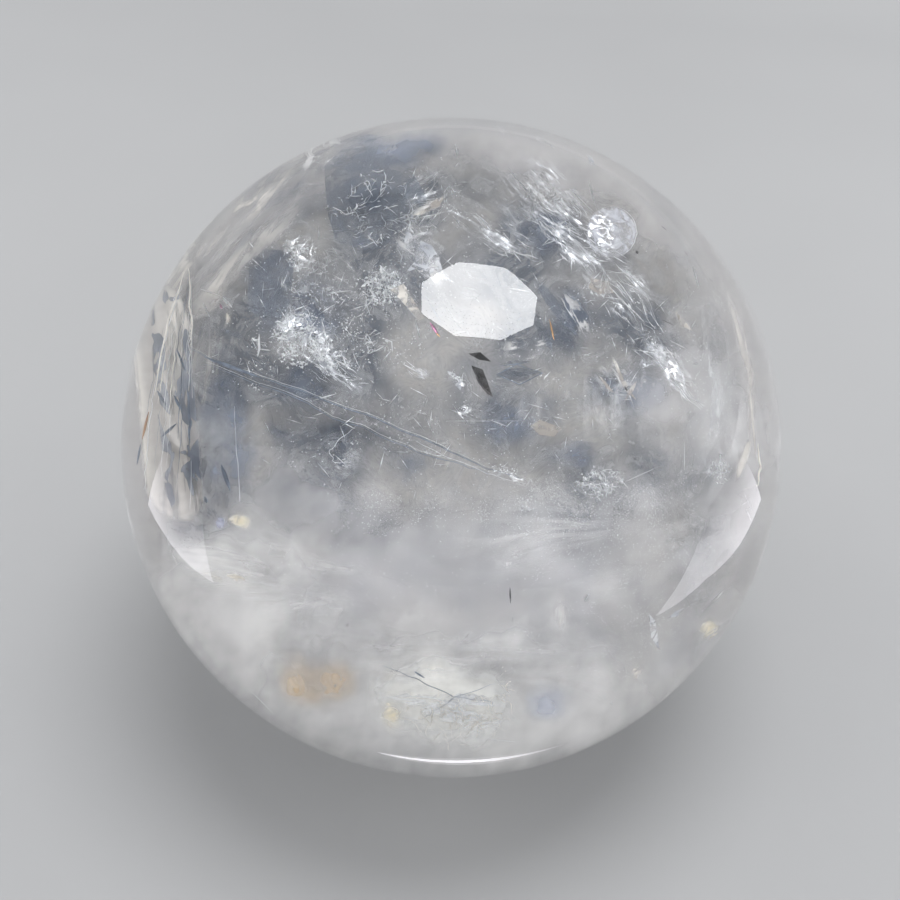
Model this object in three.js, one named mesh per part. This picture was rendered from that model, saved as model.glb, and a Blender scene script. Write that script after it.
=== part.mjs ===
// A polished sphere of clear quartz, which stands on a small flat spot ground on its base.
// It is one natural stone, cut and polished in one piece.
// Millimetres, +Z up. The origin is the centre of the flat spot, and the sphere's axis is Z.
import * as THREE from "three";

// Driving dimensions
const SPHERE_DIAMETER = 100;
const FLAT_DIAMETER = 18;

// Facets: even steps round the girth, and up the meridian from the flat's rim to the top
const GIRTH_STEPS = 72;
const MERIDIAN_STEPS = 36;

// Worked out from the driving dimensions
const SPHERE_RADIUS = SPHERE_DIAMETER / 2;
const FLAT_RADIUS = FLAT_DIAMETER / 2;
const CENTRE_HEIGHT = Math.sqrt(SPHERE_RADIUS ** 2 - FLAT_RADIUS ** 2);
const RIM_ANGLE = -Math.acos(FLAT_RADIUS / SPHERE_RADIUS);
const TOP_ANGLE = Math.PI / 2;

// Half of the section through the axis: the flat from its centre to its rim, then the arc to the top.
function sphereProfile() {
  const points = [new THREE.Vector2(0, 0)];
  for (let step = 0; step < MERIDIAN_STEPS; step += 1) {
    const angle = THREE.MathUtils.lerp(RIM_ANGLE, TOP_ANGLE, step / MERIDIAN_STEPS);
    const fromAxis = SPHERE_RADIUS * Math.cos(angle);
    const height = CENTRE_HEIGHT + SPHERE_RADIUS * Math.sin(angle);
    points.push(new THREE.Vector2(fromAxis, height));
  }
  points.push(new THREE.Vector2(0, CENTRE_HEIGHT + SPHERE_RADIUS));
  return points;
}

// The lathe turns the profile about Y, so the body is stood up on Z afterwards.
function quartzSphere() {
  const geometry = new THREE.LatheGeometry(sphereProfile(), GIRTH_STEPS);
  geometry.rotateX(Math.PI / 2);
  const polishedQuartz = new THREE.MeshStandardMaterial({
    color: 0xc4c6ca,
    roughness: 0.04,
    metalness: 0,
    transparent: true,
    opacity: 0.6,
  });
  const sphere = new THREE.Mesh(geometry, polishedQuartz);
  sphere.name = "quartz_sphere";
  return sphere;
}

const object = new THREE.Group();
object.add(quartzSphere());

export default object;
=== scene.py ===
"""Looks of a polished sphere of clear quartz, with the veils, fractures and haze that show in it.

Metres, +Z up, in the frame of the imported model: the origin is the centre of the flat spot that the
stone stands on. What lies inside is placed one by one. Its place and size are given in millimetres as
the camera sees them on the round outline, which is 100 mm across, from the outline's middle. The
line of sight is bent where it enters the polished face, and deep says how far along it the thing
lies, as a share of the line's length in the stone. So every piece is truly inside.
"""
import logging
import math
import random
from dataclasses import dataclass, replace
from enum import Enum
from functools import cached_property
from typing import Callable, ClassVar, Iterable, Sequence

import bmesh
import bpy
import numpy as np
from mathutils import Matrix, Vector, noise


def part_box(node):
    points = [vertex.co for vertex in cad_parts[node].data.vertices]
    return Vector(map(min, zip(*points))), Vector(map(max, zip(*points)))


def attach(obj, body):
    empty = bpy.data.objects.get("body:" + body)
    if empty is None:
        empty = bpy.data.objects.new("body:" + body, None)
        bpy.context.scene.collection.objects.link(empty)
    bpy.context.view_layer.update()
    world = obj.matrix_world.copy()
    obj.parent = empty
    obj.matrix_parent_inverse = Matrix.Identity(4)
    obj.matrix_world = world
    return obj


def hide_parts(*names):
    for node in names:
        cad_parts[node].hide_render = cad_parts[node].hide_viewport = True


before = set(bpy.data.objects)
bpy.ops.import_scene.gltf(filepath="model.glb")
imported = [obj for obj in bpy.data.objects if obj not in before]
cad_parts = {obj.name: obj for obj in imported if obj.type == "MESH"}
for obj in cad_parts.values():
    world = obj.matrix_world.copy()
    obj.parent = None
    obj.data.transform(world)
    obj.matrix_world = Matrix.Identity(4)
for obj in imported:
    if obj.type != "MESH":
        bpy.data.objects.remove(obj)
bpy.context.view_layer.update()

LOG = logging.getLogger("quartz")
MM = 0.001
BODY = "root"
NODE = "quartz_sphere"

Colour = tuple[float, float, float]
Route = tuple[tuple[float, float], ...]
WHITE: Colour = (0.96, 0.97, 0.98)
SILVER: Colour = (0.80, 0.82, 0.86)
CREAM: Colour = (0.97, 0.93, 0.85)
SAND: Colour = (0.82, 0.76, 0.66)
SLATE: Colour = (0.10, 0.12, 0.16)
INK: Colour = (0.03, 0.03, 0.035)


def smooth(low: float, high: float, value: float) -> float:
    """Rises smoothly from 0 at low to 1 at high.

    Args:
        low: Where the rise starts.
        high: Where it ends. It may be below low, for a fall.
        value: The number to judge.

    Returns:
        A share from 0 to 1.
    """
    share = min(1.0, max(0.0, (value - low) / (high - low)))
    return share * share * (3 - 2 * share)


@dataclass(frozen=True)
class Stone:
    """The round of the stone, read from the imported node, and how it bends light."""

    low: Vector
    high: Vector
    refraction: float = 1.544
    skin: float = 0.015

    @cached_property
    def radius(self) -> float:
        """Half of the stone's width."""
        return (self.high.x - self.low.x) / 2

    @cached_property
    def centre(self) -> Vector:
        """The middle of the round, above the middle of the flat."""
        return Vector((0.0, 0.0, self.high.z - self.radius))

    def cover(self, point: Vector) -> float:
        """Tells how well the stone covers a point: 0 at its skin and outside, 1 a little inside."""
        reach = (point - self.centre).length / self.radius
        return min(smooth(1 - self.skin, 1 - 4 * self.skin, reach), smooth(MM, 3 * MM, point.z))

    def enter(self, start: Vector, way: Vector) -> tuple[Vector, Vector, float]:
        """Follows a line of sight to the polished face and bends it there.

        Args:
            start: Where the line starts, outside the stone.
            way: Its direction, of length 1.

        Returns:
            Where it enters, its direction inside, and its length inside.
        """
        from_centre = start - self.centre
        along = from_centre.dot(way)
        root = max(0.0, along * along - from_centre.length_squared + self.radius ** 2)
        entry = start + way * (-along - math.sqrt(root))
        normal = (entry - self.centre).normalized()
        facing = -way.dot(normal)
        ratio = 1 / self.refraction
        bent = math.sqrt(max(0.0, 1 - ratio * ratio * (1 - facing * facing)))
        inside = (way * ratio + normal * (ratio * facing - bent)).normalized()
        return entry, inside, 2 * self.radius * bent


@dataclass(frozen=True)
class Viewpoint:
    """The camera: how high and how far it stands, how it leans, and how large it shows the stone."""

    stone: Stone
    elevation: float = math.radians(43.6)
    distance_in_radii: float = 4.2
    lean: float = math.radians(2.5)
    outline_share: float = 0.3669
    shift_right: float = -0.0013
    shift_up: float = -0.0028
    sensor: float = 36.0

    @cached_property
    def back(self) -> Vector:
        """Direction from the stone to the camera."""
        return Vector((0.0, -math.cos(self.elevation), math.sin(self.elevation)))

    @cached_property
    def turn(self) -> Matrix:
        """The camera's rotation: its right, up and back in the columns."""
        level = (-self.back).to_track_quat("-Z", "Y").to_matrix()
        return level @ Matrix.Rotation(self.lean, 3, "Z")

    @cached_property
    def place(self) -> Vector:
        """Where the camera stands."""
        return self.stone.centre + self.back * self.stone.radius * self.distance_in_radii

    @cached_property
    def spread(self) -> float:
        """Tangent of the angle between the stone's middle and its outline."""
        return math.tan(math.asin(1 / self.distance_in_radii))

    def trace(self, x: float, y: float) -> tuple[Vector, Vector, float]:
        """Follows the line of sight at a seen place into the stone.

        Args:
            x: Seen millimetres to the right of the outline's middle.
            y: Seen millimetres above it.

        Returns:
            Where it enters the stone, its direction inside, and its length inside.
        """
        scale = self.spread * MM / self.stone.radius
        way = (self.turn @ Vector((x * scale, y * scale, -1.0))).normalized()
        return self.stone.enter(self.place, way)

    def build(self) -> bpy.types.Object:
        """Makes the camera.

        Returns:
            The camera's object, set as the scene's camera.
        """
        data = bpy.data.cameras.new("camera")
        data.sensor_width = self.sensor
        data.lens = self.sensor * self.outline_share / self.spread
        data.shift_x = self.shift_right
        data.shift_y = self.shift_up
        data.clip_start = 0.01
        data.clip_end = 20.0
        camera = bpy.data.objects.new("camera", data)
        camera.rotation_mode = "QUATERNION"
        camera.rotation_quaternion = self.turn.to_quaternion()
        camera.location = self.place
        bpy.context.scene.collection.objects.link(camera)
        bpy.context.scene.camera = camera
        return camera


STONE = Stone(*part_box(NODE))
VIEW = Viewpoint(STONE)
LAMP = (0.10, 0.03, 1.0)
GLINT = (VIEW.back + Vector(LAMP)).normalized()
WITHIN = bpy.data.collections.new("within_the_stone")
SLANT = Vector((1.0, 1.7, 2.3))
SWAY_SEED = 1796074307


@dataclass(frozen=True)
class Bed:
    """A thin wavy area inside the stone, which a film covers or chips and threads lie on.

    It faces half-way between the overhead light and the eye, where a healed crack flashes, unless
    lift tips it upwards, in degrees. spin turns its outline in the picture. relief and crumple are
    the height and the number per metre of its waves. It is full over its core and thins out to
    nothing at a ragged rim, and a larger square makes it squarer. With a hug of 1 it isn't flat but
    lies equally deep all over. hollow empties its middle, out to so many seen millimetres from the
    outline's middle, and it is full again at hollow_end. swing is how far the light's direction
    turns towards the side that a bed lies on, steepest limits how edge-on a bed is met, margin
    keeps it off the polished face, and limb is where it fades there.
    """

    x: float
    y: float
    wide: float
    high: float
    deep: float = 0.30
    spin: float = 0.0
    lift: float = 0.0
    relief: float = 0.5
    crumple: float = 250.0
    core: float = 0.45
    ragged: float = 0.35
    square: float = 2.0
    cell: float = 0.36
    hug: float = 0.0
    hollow: float = 0.0
    seed: int = 1
    swing: ClassVar[float] = 0.15
    steepest: ClassVar[float] = -0.15
    margin: ClassVar[float] = 0.03
    limb: ClassVar[tuple[float, float]] = (51.6, 50.6)
    hollow_end: ClassVar[float] = 48.0
    limb_length: ClassVar[float] = 45.0

    @cached_property
    def plane(self) -> tuple[Vector, Vector]:
        """A point of the bed and the direction that it faces."""
        entry, inside, length = VIEW.trace(self.x, self.y)
        point = entry + inside * length * self.deep
        outward = (point - STONE.centre) / STONE.radius
        light = Vector((LAMP[0] + self.swing * outward.x, LAMP[1] + self.swing * outward.y, LAMP[2]))
        face = (light.normalized() - inside).normalized()
        across = VIEW.turn @ Vector((1.0, 0.0, 0.0))
        tip = Matrix.Rotation(math.radians(self.lift), 3, -across)
        return point, tip @ face

    def seen(self, across: float, along: float) -> tuple[float, float]:
        """Turns a place in the bed's own seen millimetres into one in the outline's."""
        angle = math.radians(self.spin)
        return (self.x + across * math.cos(angle) - along * math.sin(angle),
                self.y + across * math.sin(angle) + along * math.cos(angle))

    def point(self, across: float, along: float, rise: float = 0.0) -> Vector:
        """Finds the point of the bed that is seen at a place.

        Args:
            across: Seen millimetres from its middle, across it.
            along: Seen millimetres from its middle, along it.
            rise: How far above the bed the point lies, in metres.

        Returns:
            The point.
        """
        entry, inside, length = VIEW.trace(*self.seen(across, along))
        middle, face = self.plane
        reach = (middle - entry).dot(face) / min(self.steepest, inside.dot(face))
        travel = min((1 - self.margin) * length, max(self.margin * length, reach))
        travel += self.hug * (self.deep * length - travel)
        wave = noise.fractal(Vector((across, along, self.seed * 3.7)) * (self.crumple * MM), 0.8, 2.0, 4)
        return entry + inside * travel + face * (self.relief * MM * wave + rise)

    def fade(self, across: float, along: float) -> float:
        """How strong the film is at a seen place, from 1 in its core to 0 at its rim."""
        reach = (abs(2 * across / self.wide) ** self.square
                 + abs(2 * along / self.high) ** self.square) ** (1 / self.square)
        tear = noise.fractal(Vector((across, along, self.seed * 1.7)) * 0.16, 0.9, 2.0, 4)
        full = smooth(1.0, self.core, reach + self.ragged * tear)
        from_middle = math.hypot(*self.seen(across, along))
        full *= smooth(*self.limb, from_middle)
        if self.hollow <= 0.0:
            return full
        return full * smooth(self.hollow, self.hollow_end, from_middle + 2.6 * tear)

    def flow(self, across: float, along: float) -> Vector:
        """Where a stretched pattern is read: along the bed, or round the outline if it is hollow."""
        if self.hollow <= 0.0:
            return Vector((across * MM, along * MM, self.seed * 0.07))
        x, y = self.seen(across, along)
        around = abs(math.atan2(x, y)) * self.limb_length
        return Vector((around * MM, math.hypot(x, y) * MM, self.seed * 0.07))

    def grid(self) -> bmesh.types.BMesh:
        """Makes the bed's surface, with how strong it is in fade, and its own places in flow."""
        shape = bmesh.new()
        bmesh.ops.create_grid(shape, x_segments=max(6, round(self.wide / self.cell)),
                              y_segments=max(6, round(self.high / self.cell)), size=0.5)
        layer = shape.verts.layers.float.new("fade")
        ways = shape.verts.layers.float_vector.new("flow")
        for vert in shape.verts:
            across, along = vert.co.x * self.wide, vert.co.y * self.high
            vert.co = self.point(across, along)
            vert[layer] = self.fade(across, along) * STONE.cover(vert.co)
            vert[ways] = self.flow(across, along)
        bare = [face for face in shape.faces if all(vert[layer] <= 0.0 for vert in face.verts)]
        bmesh.ops.delete(shape, geom=bare, context="FACES")
        return shape


@dataclass(frozen=True)
class Spot:
    """A seen place in the stone, and how deep it lies."""

    x: float
    y: float
    deep: float = 0.30

    @property
    def point(self) -> Vector:
        """The place in the stone."""
        entry, inside, length = VIEW.trace(self.x, self.y)
        return entry + inside * length * self.deep


def link_piece(name: str, mesh: bpy.types.Mesh, material: bpy.types.Material) -> bpy.types.Object:
    """Makes a piece of the stone from a finished mesh.

    Args:
        name: The piece's name.
        mesh: Its mesh, in place.
        material: What it is made of.

    Returns:
        The object, which rides on the stone's body.
    """
    mesh.name = name
    mesh.materials.append(material)
    piece = bpy.data.objects.new(name, mesh)
    bpy.context.scene.collection.objects.link(piece)
    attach(piece, BODY)
    piece.visible_shadow = False
    WITHIN.objects.link(piece)
    LOG.info("%s: %d faces", name, len(mesh.polygons))
    return piece


def mesh_of(shape: bmesh.types.BMesh, name: str, shade_smooth: bool = False) -> bpy.types.Mesh:
    """Turns a bmesh into a mesh and frees it.

    Args:
        shape: The finished bmesh.
        name: The mesh's name.
        shade_smooth: Whether its faces are shaded smooth.

    Returns:
        The mesh.
    """
    for face in shape.faces:
        face.smooth = shade_smooth
    mesh = bpy.data.meshes.new(name)
    shape.to_mesh(mesh)
    shape.free()
    return mesh


def joined(shapes: Iterable[bmesh.types.BMesh]) -> bmesh.types.BMesh:
    """Joins bmeshes into one and frees them.

    Args:
        shapes: The bmeshes.

    Returns:
        One bmesh.
    """
    whole = bmesh.new()
    scratch = bpy.data.meshes.new("scratch")
    for shape in shapes:
        shape.to_mesh(scratch)
        shape.free()
        whole.from_mesh(scratch)
    bpy.data.meshes.remove(scratch)
    return whole


def ordered(shape: bmesh.types.BMesh) -> bmesh.types.BMesh:
    """Sorts points and faces along a slanting line, as extruding leaves them in another order at each run.

    Args:
        shape: A bmesh.

    Returns:
        The same bmesh.
    """
    shape.verts.sort(key=lambda vert: vert.co.dot(SLANT))
    shape.faces.sort(key=lambda face: face.calc_center_median().dot(SLANT))
    return shape


def swept(path: Sequence[Vector], thickness: Callable[[float], float], flatness: float = 1.0,
          sides: int = 4) -> bmesh.types.BMesh:
    """Sweeps a small section along a path, closed at both ends, with its flat side where light glints.

    Args:
        path: The points that it follows.
        thickness: Half its thickness for a share of the path's length from 0 to 1.
        flatness: Its other half thickness, as a share of the first.
        sides: Sides of the section.

    Returns:
        A bmesh with its faces pointing outwards.
    """
    shape = bmesh.new()
    last = len(path) - 1

    def ring(index: int) -> Matrix:
        """Matrix of the section at a point of the path."""
        ahead = (path[min(index + 1, last)] - path[max(index - 1, 0)]).normalized()
        side = ahead.cross(GLINT).normalized()
        top = ahead.cross(side)
        half = max(thickness(index / last), 1e-6)
        frame_of = Matrix((side * half, top * half * flatness, ahead * half)).transposed().to_4x4()
        return Matrix.Translation(path[index]) @ frame_of

    bmesh.ops.create_circle(shape, cap_ends=True, segments=sides, radius=1.0, matrix=ring(0))
    end = shape.faces[:]
    for index in range(1, last + 1):
        grown = bmesh.ops.extrude_face_region(shape, geom=end)["geom"]
        verts = [part for part in grown if isinstance(part, bmesh.types.BMVert)]
        end = [part for part in grown if isinstance(part, bmesh.types.BMFace)]
        bmesh.ops.transform(shape, matrix=ring(index) @ ring(index - 1).inverted(), verts=verts)
    bmesh.ops.recalc_face_normals(ordered(shape), faces=shape.faces)
    return shape


def repeated(name: str, template: bmesh.types.BMesh, places: np.ndarray) -> bpy.types.Mesh:
    """Repeats a small closed shape at many places, as one mesh.

    Args:
        name: The mesh's name.
        template: The shape, about its own origin. It is freed.
        places: A 4 by 4 matrix for each copy.

    Returns:
        The joined mesh.
    """
    bmesh.ops.triangulate(template, faces=template.faces)
    pattern = mesh_of(template, "template")
    corners = np.array([(*v.co, 1.0) for v in pattern.vertices])
    faces = np.array([tuple(p.vertices) for p in pattern.polygons])
    bpy.data.meshes.remove(pattern)
    points = np.einsum("nij,kj->nki", places, corners)[:, :, :3].reshape(-1, 3)
    loops = (faces[None] + (np.arange(len(places)) * len(corners))[:, None, None]).reshape(-1)
    mesh = bpy.data.meshes.new(name)
    mesh.vertices.add(len(points))
    mesh.vertices.foreach_set("co", points.astype(np.float32).ravel())
    mesh.loops.add(len(loops))
    mesh.loops.foreach_set("vertex_index", loops.astype(np.int32))
    mesh.polygons.add(len(loops) // 3)
    mesh.polygons.foreach_set("loop_start", np.arange(0, len(loops), 3, dtype=np.int32))
    mesh.update(calc_edges=True)
    return mesh


class ShaderTree:
    """A material's nodes, with short ways to add and join them."""

    def __init__(self, name: str) -> None:
        """Starts a material with its usual two nodes.

        Args:
            name: The material's name.
        """
        self.material = bpy.data.materials.new(name)
        self.material.use_nodes = True
        self.tree = self.material.node_tree
        self.surface = self.tree.nodes["Principled BSDF"]
        self.output = self.tree.nodes["Material Output"]

    def give(self, socket: bpy.types.NodeSocket, value: object) -> None:
        """Sets a socket to a value, or links another node's socket to it."""
        if isinstance(value, bpy.types.NodeSocket):
            self.tree.links.new(value, socket)
        else:
            socket.default_value = value

    def node(self, kind: str, **inputs: object) -> bpy.types.Node:
        """Adds a node.

        Args:
            kind: The node's type, without the word ShaderNode.
            **inputs: Values or other nodes' sockets for its inputs, with _ for a space in a name.

        Returns:
            The node.
        """
        made = self.tree.nodes.new("ShaderNode" + kind)
        for name, value in inputs.items():
            self.give(made.inputs[name.replace("_", " ")], value)
        return made

    def place(self, stretch: Colour | None = None) -> bpy.types.NodeSocket:
        """Gives the place in the stone that a pattern is read at.

        Args:
            stretch: How much denser it is across and along its own bed, or None for the stone's frame.

        Returns:
            A vector socket, in metres.
        """
        if stretch is None:
            return self.node("TexCoord").outputs["Object"]
        flow = self.tree.nodes.new("ShaderNodeAttribute")
        flow.attribute_name = "flow"
        return self.node("Mapping", Vector=flow.outputs["Vector"], Scale=stretch).outputs["Vector"]

    def noise(self, where: bpy.types.NodeSocket, scale: float, detail: float = 3.0,
              roughness: float = 0.55) -> bpy.types.NodeSocket:
        """Adds a noise pattern.

        Args:
            where: The place to read it at.
            scale: Features per metre.
            detail: How many finer layers it has.
            roughness: How strong the finer layers are.

        Returns:
            The pattern's value, around 0.5.
        """
        made = self.node("TexNoise", Vector=where, Scale=scale, Detail=detail, Roughness=roughness)
        return made.outputs["Fac"]

    def times(self, first: object, second: object) -> bpy.types.NodeSocket:
        """Multiplies two numbers."""
        made = self.tree.nodes.new("ShaderNodeMath")
        made.operation = "MULTIPLY"
        self.give(made.inputs[0], first)
        self.give(made.inputs[1], second)
        return made.outputs[0]

    def span(self, value: object, low: float, high: float, to_low: float = 0.0,
             to_high: float = 1.0) -> bpy.types.NodeSocket:
        """Maps one range of values onto another and stops at its ends.

        Args:
            value: The value to map.
            low: Where the range starts.
            high: Where it ends.
            to_low: What low becomes.
            to_high: What high becomes.

        Returns:
            The mapped value.
        """
        made = self.node("MapRange", Value=value, From_Min=low, From_Max=high, To_Min=to_low, To_Max=to_high)
        return made.outputs["Result"]

    def blend(self, share: object, first: Colour, second: Colour) -> bpy.types.NodeSocket:
        """Mixes two colours by a share.

        Args:
            share: 0 for the first, 1 for the second.
            first: A colour.
            second: A colour.

        Returns:
            The mixed colour.
        """
        made = self.tree.nodes.new("ShaderNodeMix")
        made.data_type = "RGBA"
        self.give(made.inputs[0], share)
        made.inputs[6].default_value = (*first, 1.0)
        made.inputs[7].default_value = (*second, 1.0)
        return made.outputs[2]

    def mixed(self, share: object, first: bpy.types.NodeSocket,
              second: bpy.types.NodeSocket) -> bpy.types.NodeSocket:
        """Mixes two shaders by a share.

        Args:
            share: 0 for the first, 1 for the second.
            first: A shader.
            second: A shader.

        Returns:
            The mixed shader.
        """
        made = self.tree.nodes.new("ShaderNodeMixShader")
        for socket, value in zip(made.inputs, (share, first, second)):
            self.give(socket, value)
        return made.outputs["Shader"]

    def attribute(self, name: str) -> bpy.types.NodeSocket:
        """Reads a number that the piece's own points hold."""
        made = self.tree.nodes.new("ShaderNodeAttribute")
        made.attribute_name = name
        return made.outputs["Fac"]


@dataclass(frozen=True)
class ClearQuartz:
    """Polished clear quartz: plain transmission with a slight grey cast."""

    name: str = "clear_quartz"
    tint: Colour = (0.78, 0.80, 0.83)
    density: float = 6.0

    def material(self) -> bpy.types.Material:
        """Makes the material."""
        shader = ShaderTree(self.name)
        surface = shader.surface
        surface.inputs["Base Color"].default_value = (1.0, 1.0, 1.0, 1.0)
        surface.inputs["Roughness"].default_value = 0.0
        surface.inputs["IOR"].default_value = STONE.refraction
        surface.inputs["Transmission Weight"].default_value = 1.0
        body = shader.node("VolumeAbsorption", Color=(*self.tint, 1.0), Density=self.density)
        shader.give(shader.output.inputs["Volume"], body.outputs["Volume"])
        return shader.material


class Pattern(Enum):
    """What a film's coverage looks like."""

    CLOUD = "FBM"
    WEB = "RIDGED_MULTIFRACTAL"


@dataclass(frozen=True)
class Film:
    """A film in a healed crack: air gaps that flash, or milky or smoky matter, with clear gaps.

    Its pattern covers the bed where it rises from low to high, from veil up to strength. gather
    draws it together into patches. through is the share of its light that passes it, metal the
    share that it mirrors.
    """

    name: str
    pattern: Pattern = Pattern.WEB
    scale: float = 300.0
    low: float = 0.8
    high: float = 2.0
    strength: float = 1.0
    veil: float = 0.0
    gather: float = 0.0
    patch: float = 0.3
    swirl: float = 2.0
    detail: float = 4.0
    grit: float = 0.6
    tint: Colour = WHITE
    shade: Colour = SILVER
    metal: float = 1.0
    roughness: float = 0.28
    through: float = 0.0
    stretch: Colour | None = None

    def material(self) -> bpy.types.Material:
        """Makes the material."""
        shader = ShaderTree(self.name)
        where = shader.place(self.stretch)
        drawn = shader.node("TexNoise", Vector=where, Scale=self.scale, Detail=self.detail,
                            Roughness=self.grit, Distortion=self.swirl)
        drawn.noise_type = self.pattern.value
        if self.pattern is Pattern.WEB:
            drawn.normalize = False
            drawn.inputs["Offset"].default_value = 0.9
            drawn.inputs["Gain"].default_value = 2.0
        value = drawn.outputs["Fac"]
        shown = shader.times(shader.span(value, self.low, self.high, self.veil, self.strength),
                             shader.attribute("fade"))
        patches = shader.span(shader.noise(where, self.scale * self.patch, 2.0), 0.40, 0.60)
        if self.gather > 0.0:
            shown = shader.times(shown, shader.span(patches, 0.0, 1.0, 1.0 - self.gather, 1.0))
        tone = shader.blend(patches, self.shade, self.tint)
        surface = shader.surface
        shader.give(surface.inputs["Base Color"], tone)
        surface.inputs["Metallic"].default_value = self.metal
        surface.inputs["Roughness"].default_value = self.roughness
        if self.metal > 0.0 and self.through <= 0.0:
            shader.give(surface.inputs["Alpha"], shown)
            return shader.material
        body = surface.outputs["BSDF"]
        if self.metal <= 0.0:
            body = shader.node("BsdfDiffuse", Color=tone).outputs["BSDF"]
        if self.through > 0.0:
            passed = shader.node("BsdfTranslucent", Color=tone).outputs["BSDF"]
            body = shader.mixed(self.through, body, passed)
        clear = shader.node("BsdfTransparent").outputs["BSDF"]
        shader.give(shader.output.inputs["Surface"], shader.mixed(shown, clear, body))
        return shader.material


@dataclass(frozen=True)
class Pearl:
    """The shine of thin air gaps and splinters, or the dullness of dark mineral."""

    name: str
    tint: Colour = WHITE
    shade: Colour = SILVER
    metal: float = 0.9
    roughness: float = 0.25
    grain: float = 700.0

    def material(self) -> bpy.types.Material:
        """Makes the material."""
        shader = ShaderTree(self.name)
        pattern = shader.noise(shader.place(), self.grain, 2.0, 0.6)
        tone = shader.blend(shader.span(pattern, 0.38, 0.62), self.shade, self.tint)
        shader.give(shader.surface.inputs["Base Color"], tone)
        shader.surface.inputs["Metallic"].default_value = self.metal
        rough = shader.span(pattern, 0.3, 0.7, self.roughness * 0.7, self.roughness * 1.4)
        shader.give(shader.surface.inputs["Roughness"], rough)
        return shader.material


@dataclass(frozen=True)
class Piece:
    """One piece in the stone: shapes of one finish, joined."""

    name: str
    finish: Film | Pearl
    smooth: ClassVar[bool] = True

    def shapes(self) -> Iterable[bmesh.types.BMesh]:
        """Gives its shapes, which each kind of piece makes in its own way."""
        raise NotImplementedError

    def mesh(self) -> bpy.types.Mesh:
        """Joins its shapes."""
        return mesh_of(joined(self.shapes()), self.name, self.smooth)

    def build(self) -> bpy.types.Object:
        """Makes the piece."""
        return link_piece(self.name, self.mesh(), self.finish.material())


@dataclass(frozen=True)
class Films(Piece):
    """Films over their beds."""

    beds: tuple[Bed, ...]

    def shapes(self) -> Iterable[bmesh.types.BMesh]:
        """Makes the films."""
        return (replace(bed, seed=bed.seed * 13 + index).grid() for index, bed in enumerate(self.beds))


def alike(beds: Iterable[Bed], **changes: float) -> tuple[Bed, ...]:
    """Gives beds the same changes."""
    return tuple(replace(bed, **changes) for bed in beds)


class ChipShape(Enum):
    """The small closed shapes that are strewn in the stone: sides, thickness and width for 1 long."""

    FLAKE = (3, 0.16, 0.8)
    SLIVER = (4, 0.04, 0.06)

    def template(self) -> bmesh.types.BMesh:
        """Makes the shape on its own origin, 1 long."""
        sides, thick, wide = self.value
        shape = bmesh.new()
        bmesh.ops.create_cone(shape, cap_ends=True, segments=sides, radius1=0.5, radius2=0.0, depth=thick)
        bmesh.ops.scale(shape, vec=(1.0, wide, 1.0), verts=shape.verts)
        return shape


@dataclass(frozen=True)
class Strewn(Piece):
    """Many small chips over some beds.

    Most of them are small. thick is how far they lie above or below the bed, and tumble how far
    they tip from it. Neighbours point much the same way. clump, up to 1, gathers them.
    """

    beds: tuple[tuple[Bed, int], ...]
    size: tuple[float, float]
    shape: ChipShape = ChipShape.FLAKE
    thick: float = 0.4
    heading_spread: float = 25.0
    tumble: float = 20.0
    clump: float = 0.8
    seed: int = 1
    tries: ClassVar[int] = 60
    least_cover: ClassVar[float] = 0.6

    def places(self, bed: Bed, count: int, draw: random.Random) -> list[np.ndarray]:
        """Draws the chips' places over a bed.

        Args:
            bed: The bed.
            count: How many chips it holds.
            draw: Where their chance comes from.

        Returns:
            A 4 by 4 matrix for each chip.
        """
        face = bed.plane[1]
        side = VIEW.turn @ Vector((1.0, 0.0, 0.0))
        side = (side - face * side.dot(face)).normalized()
        base = Matrix((side, face.cross(side), face)).transposed()
        found: list[np.ndarray] = []
        for _ in range(count * self.tries):
            if len(found) == count:
                break
            across, along = draw.uniform(-0.5, 0.5) * bed.wide, draw.uniform(-0.5, 0.5) * bed.high
            spot = Vector((across, along, self.seed * 2.3))
            patch = smooth(0.05, 0.6, noise.fractal(spot * 0.35, 0.9, 2.0, 3))
            if bed.fade(across, along) * (1 - self.clump + self.clump * patch) < draw.random():
                continue
            centre = bed.point(across, along, draw.gauss(0.0, self.thick) * MM)
            if STONE.cover(centre) < self.least_cover:
                continue
            way = 400 * noise.noise(spot * 0.22) + draw.gauss(0.0, self.heading_spread)
            size = (self.size[0] + (self.size[1] - self.size[0]) * draw.random() ** 3) * MM
            turned = (Matrix.Rotation(math.radians(way + bed.spin), 3, "Z")
                      @ Matrix.Rotation(math.radians(draw.gauss(0, self.tumble)), 3, "X")
                      @ Matrix.Rotation(math.radians(draw.gauss(0, self.tumble)), 3, "Y"))
            place = np.eye(4)
            place[:3, :3] = np.array(base @ turned) * size
            place[:3, 3] = centre
            found.append(place)
        return found

    def mesh(self) -> bpy.types.Mesh:
        """Makes the chips."""
        draw = random.Random(self.seed)
        places = [place for bed, count in self.beds for place in self.places(bed, count, draw)]
        return repeated(self.name, self.shape.template(), np.array(places))


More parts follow.
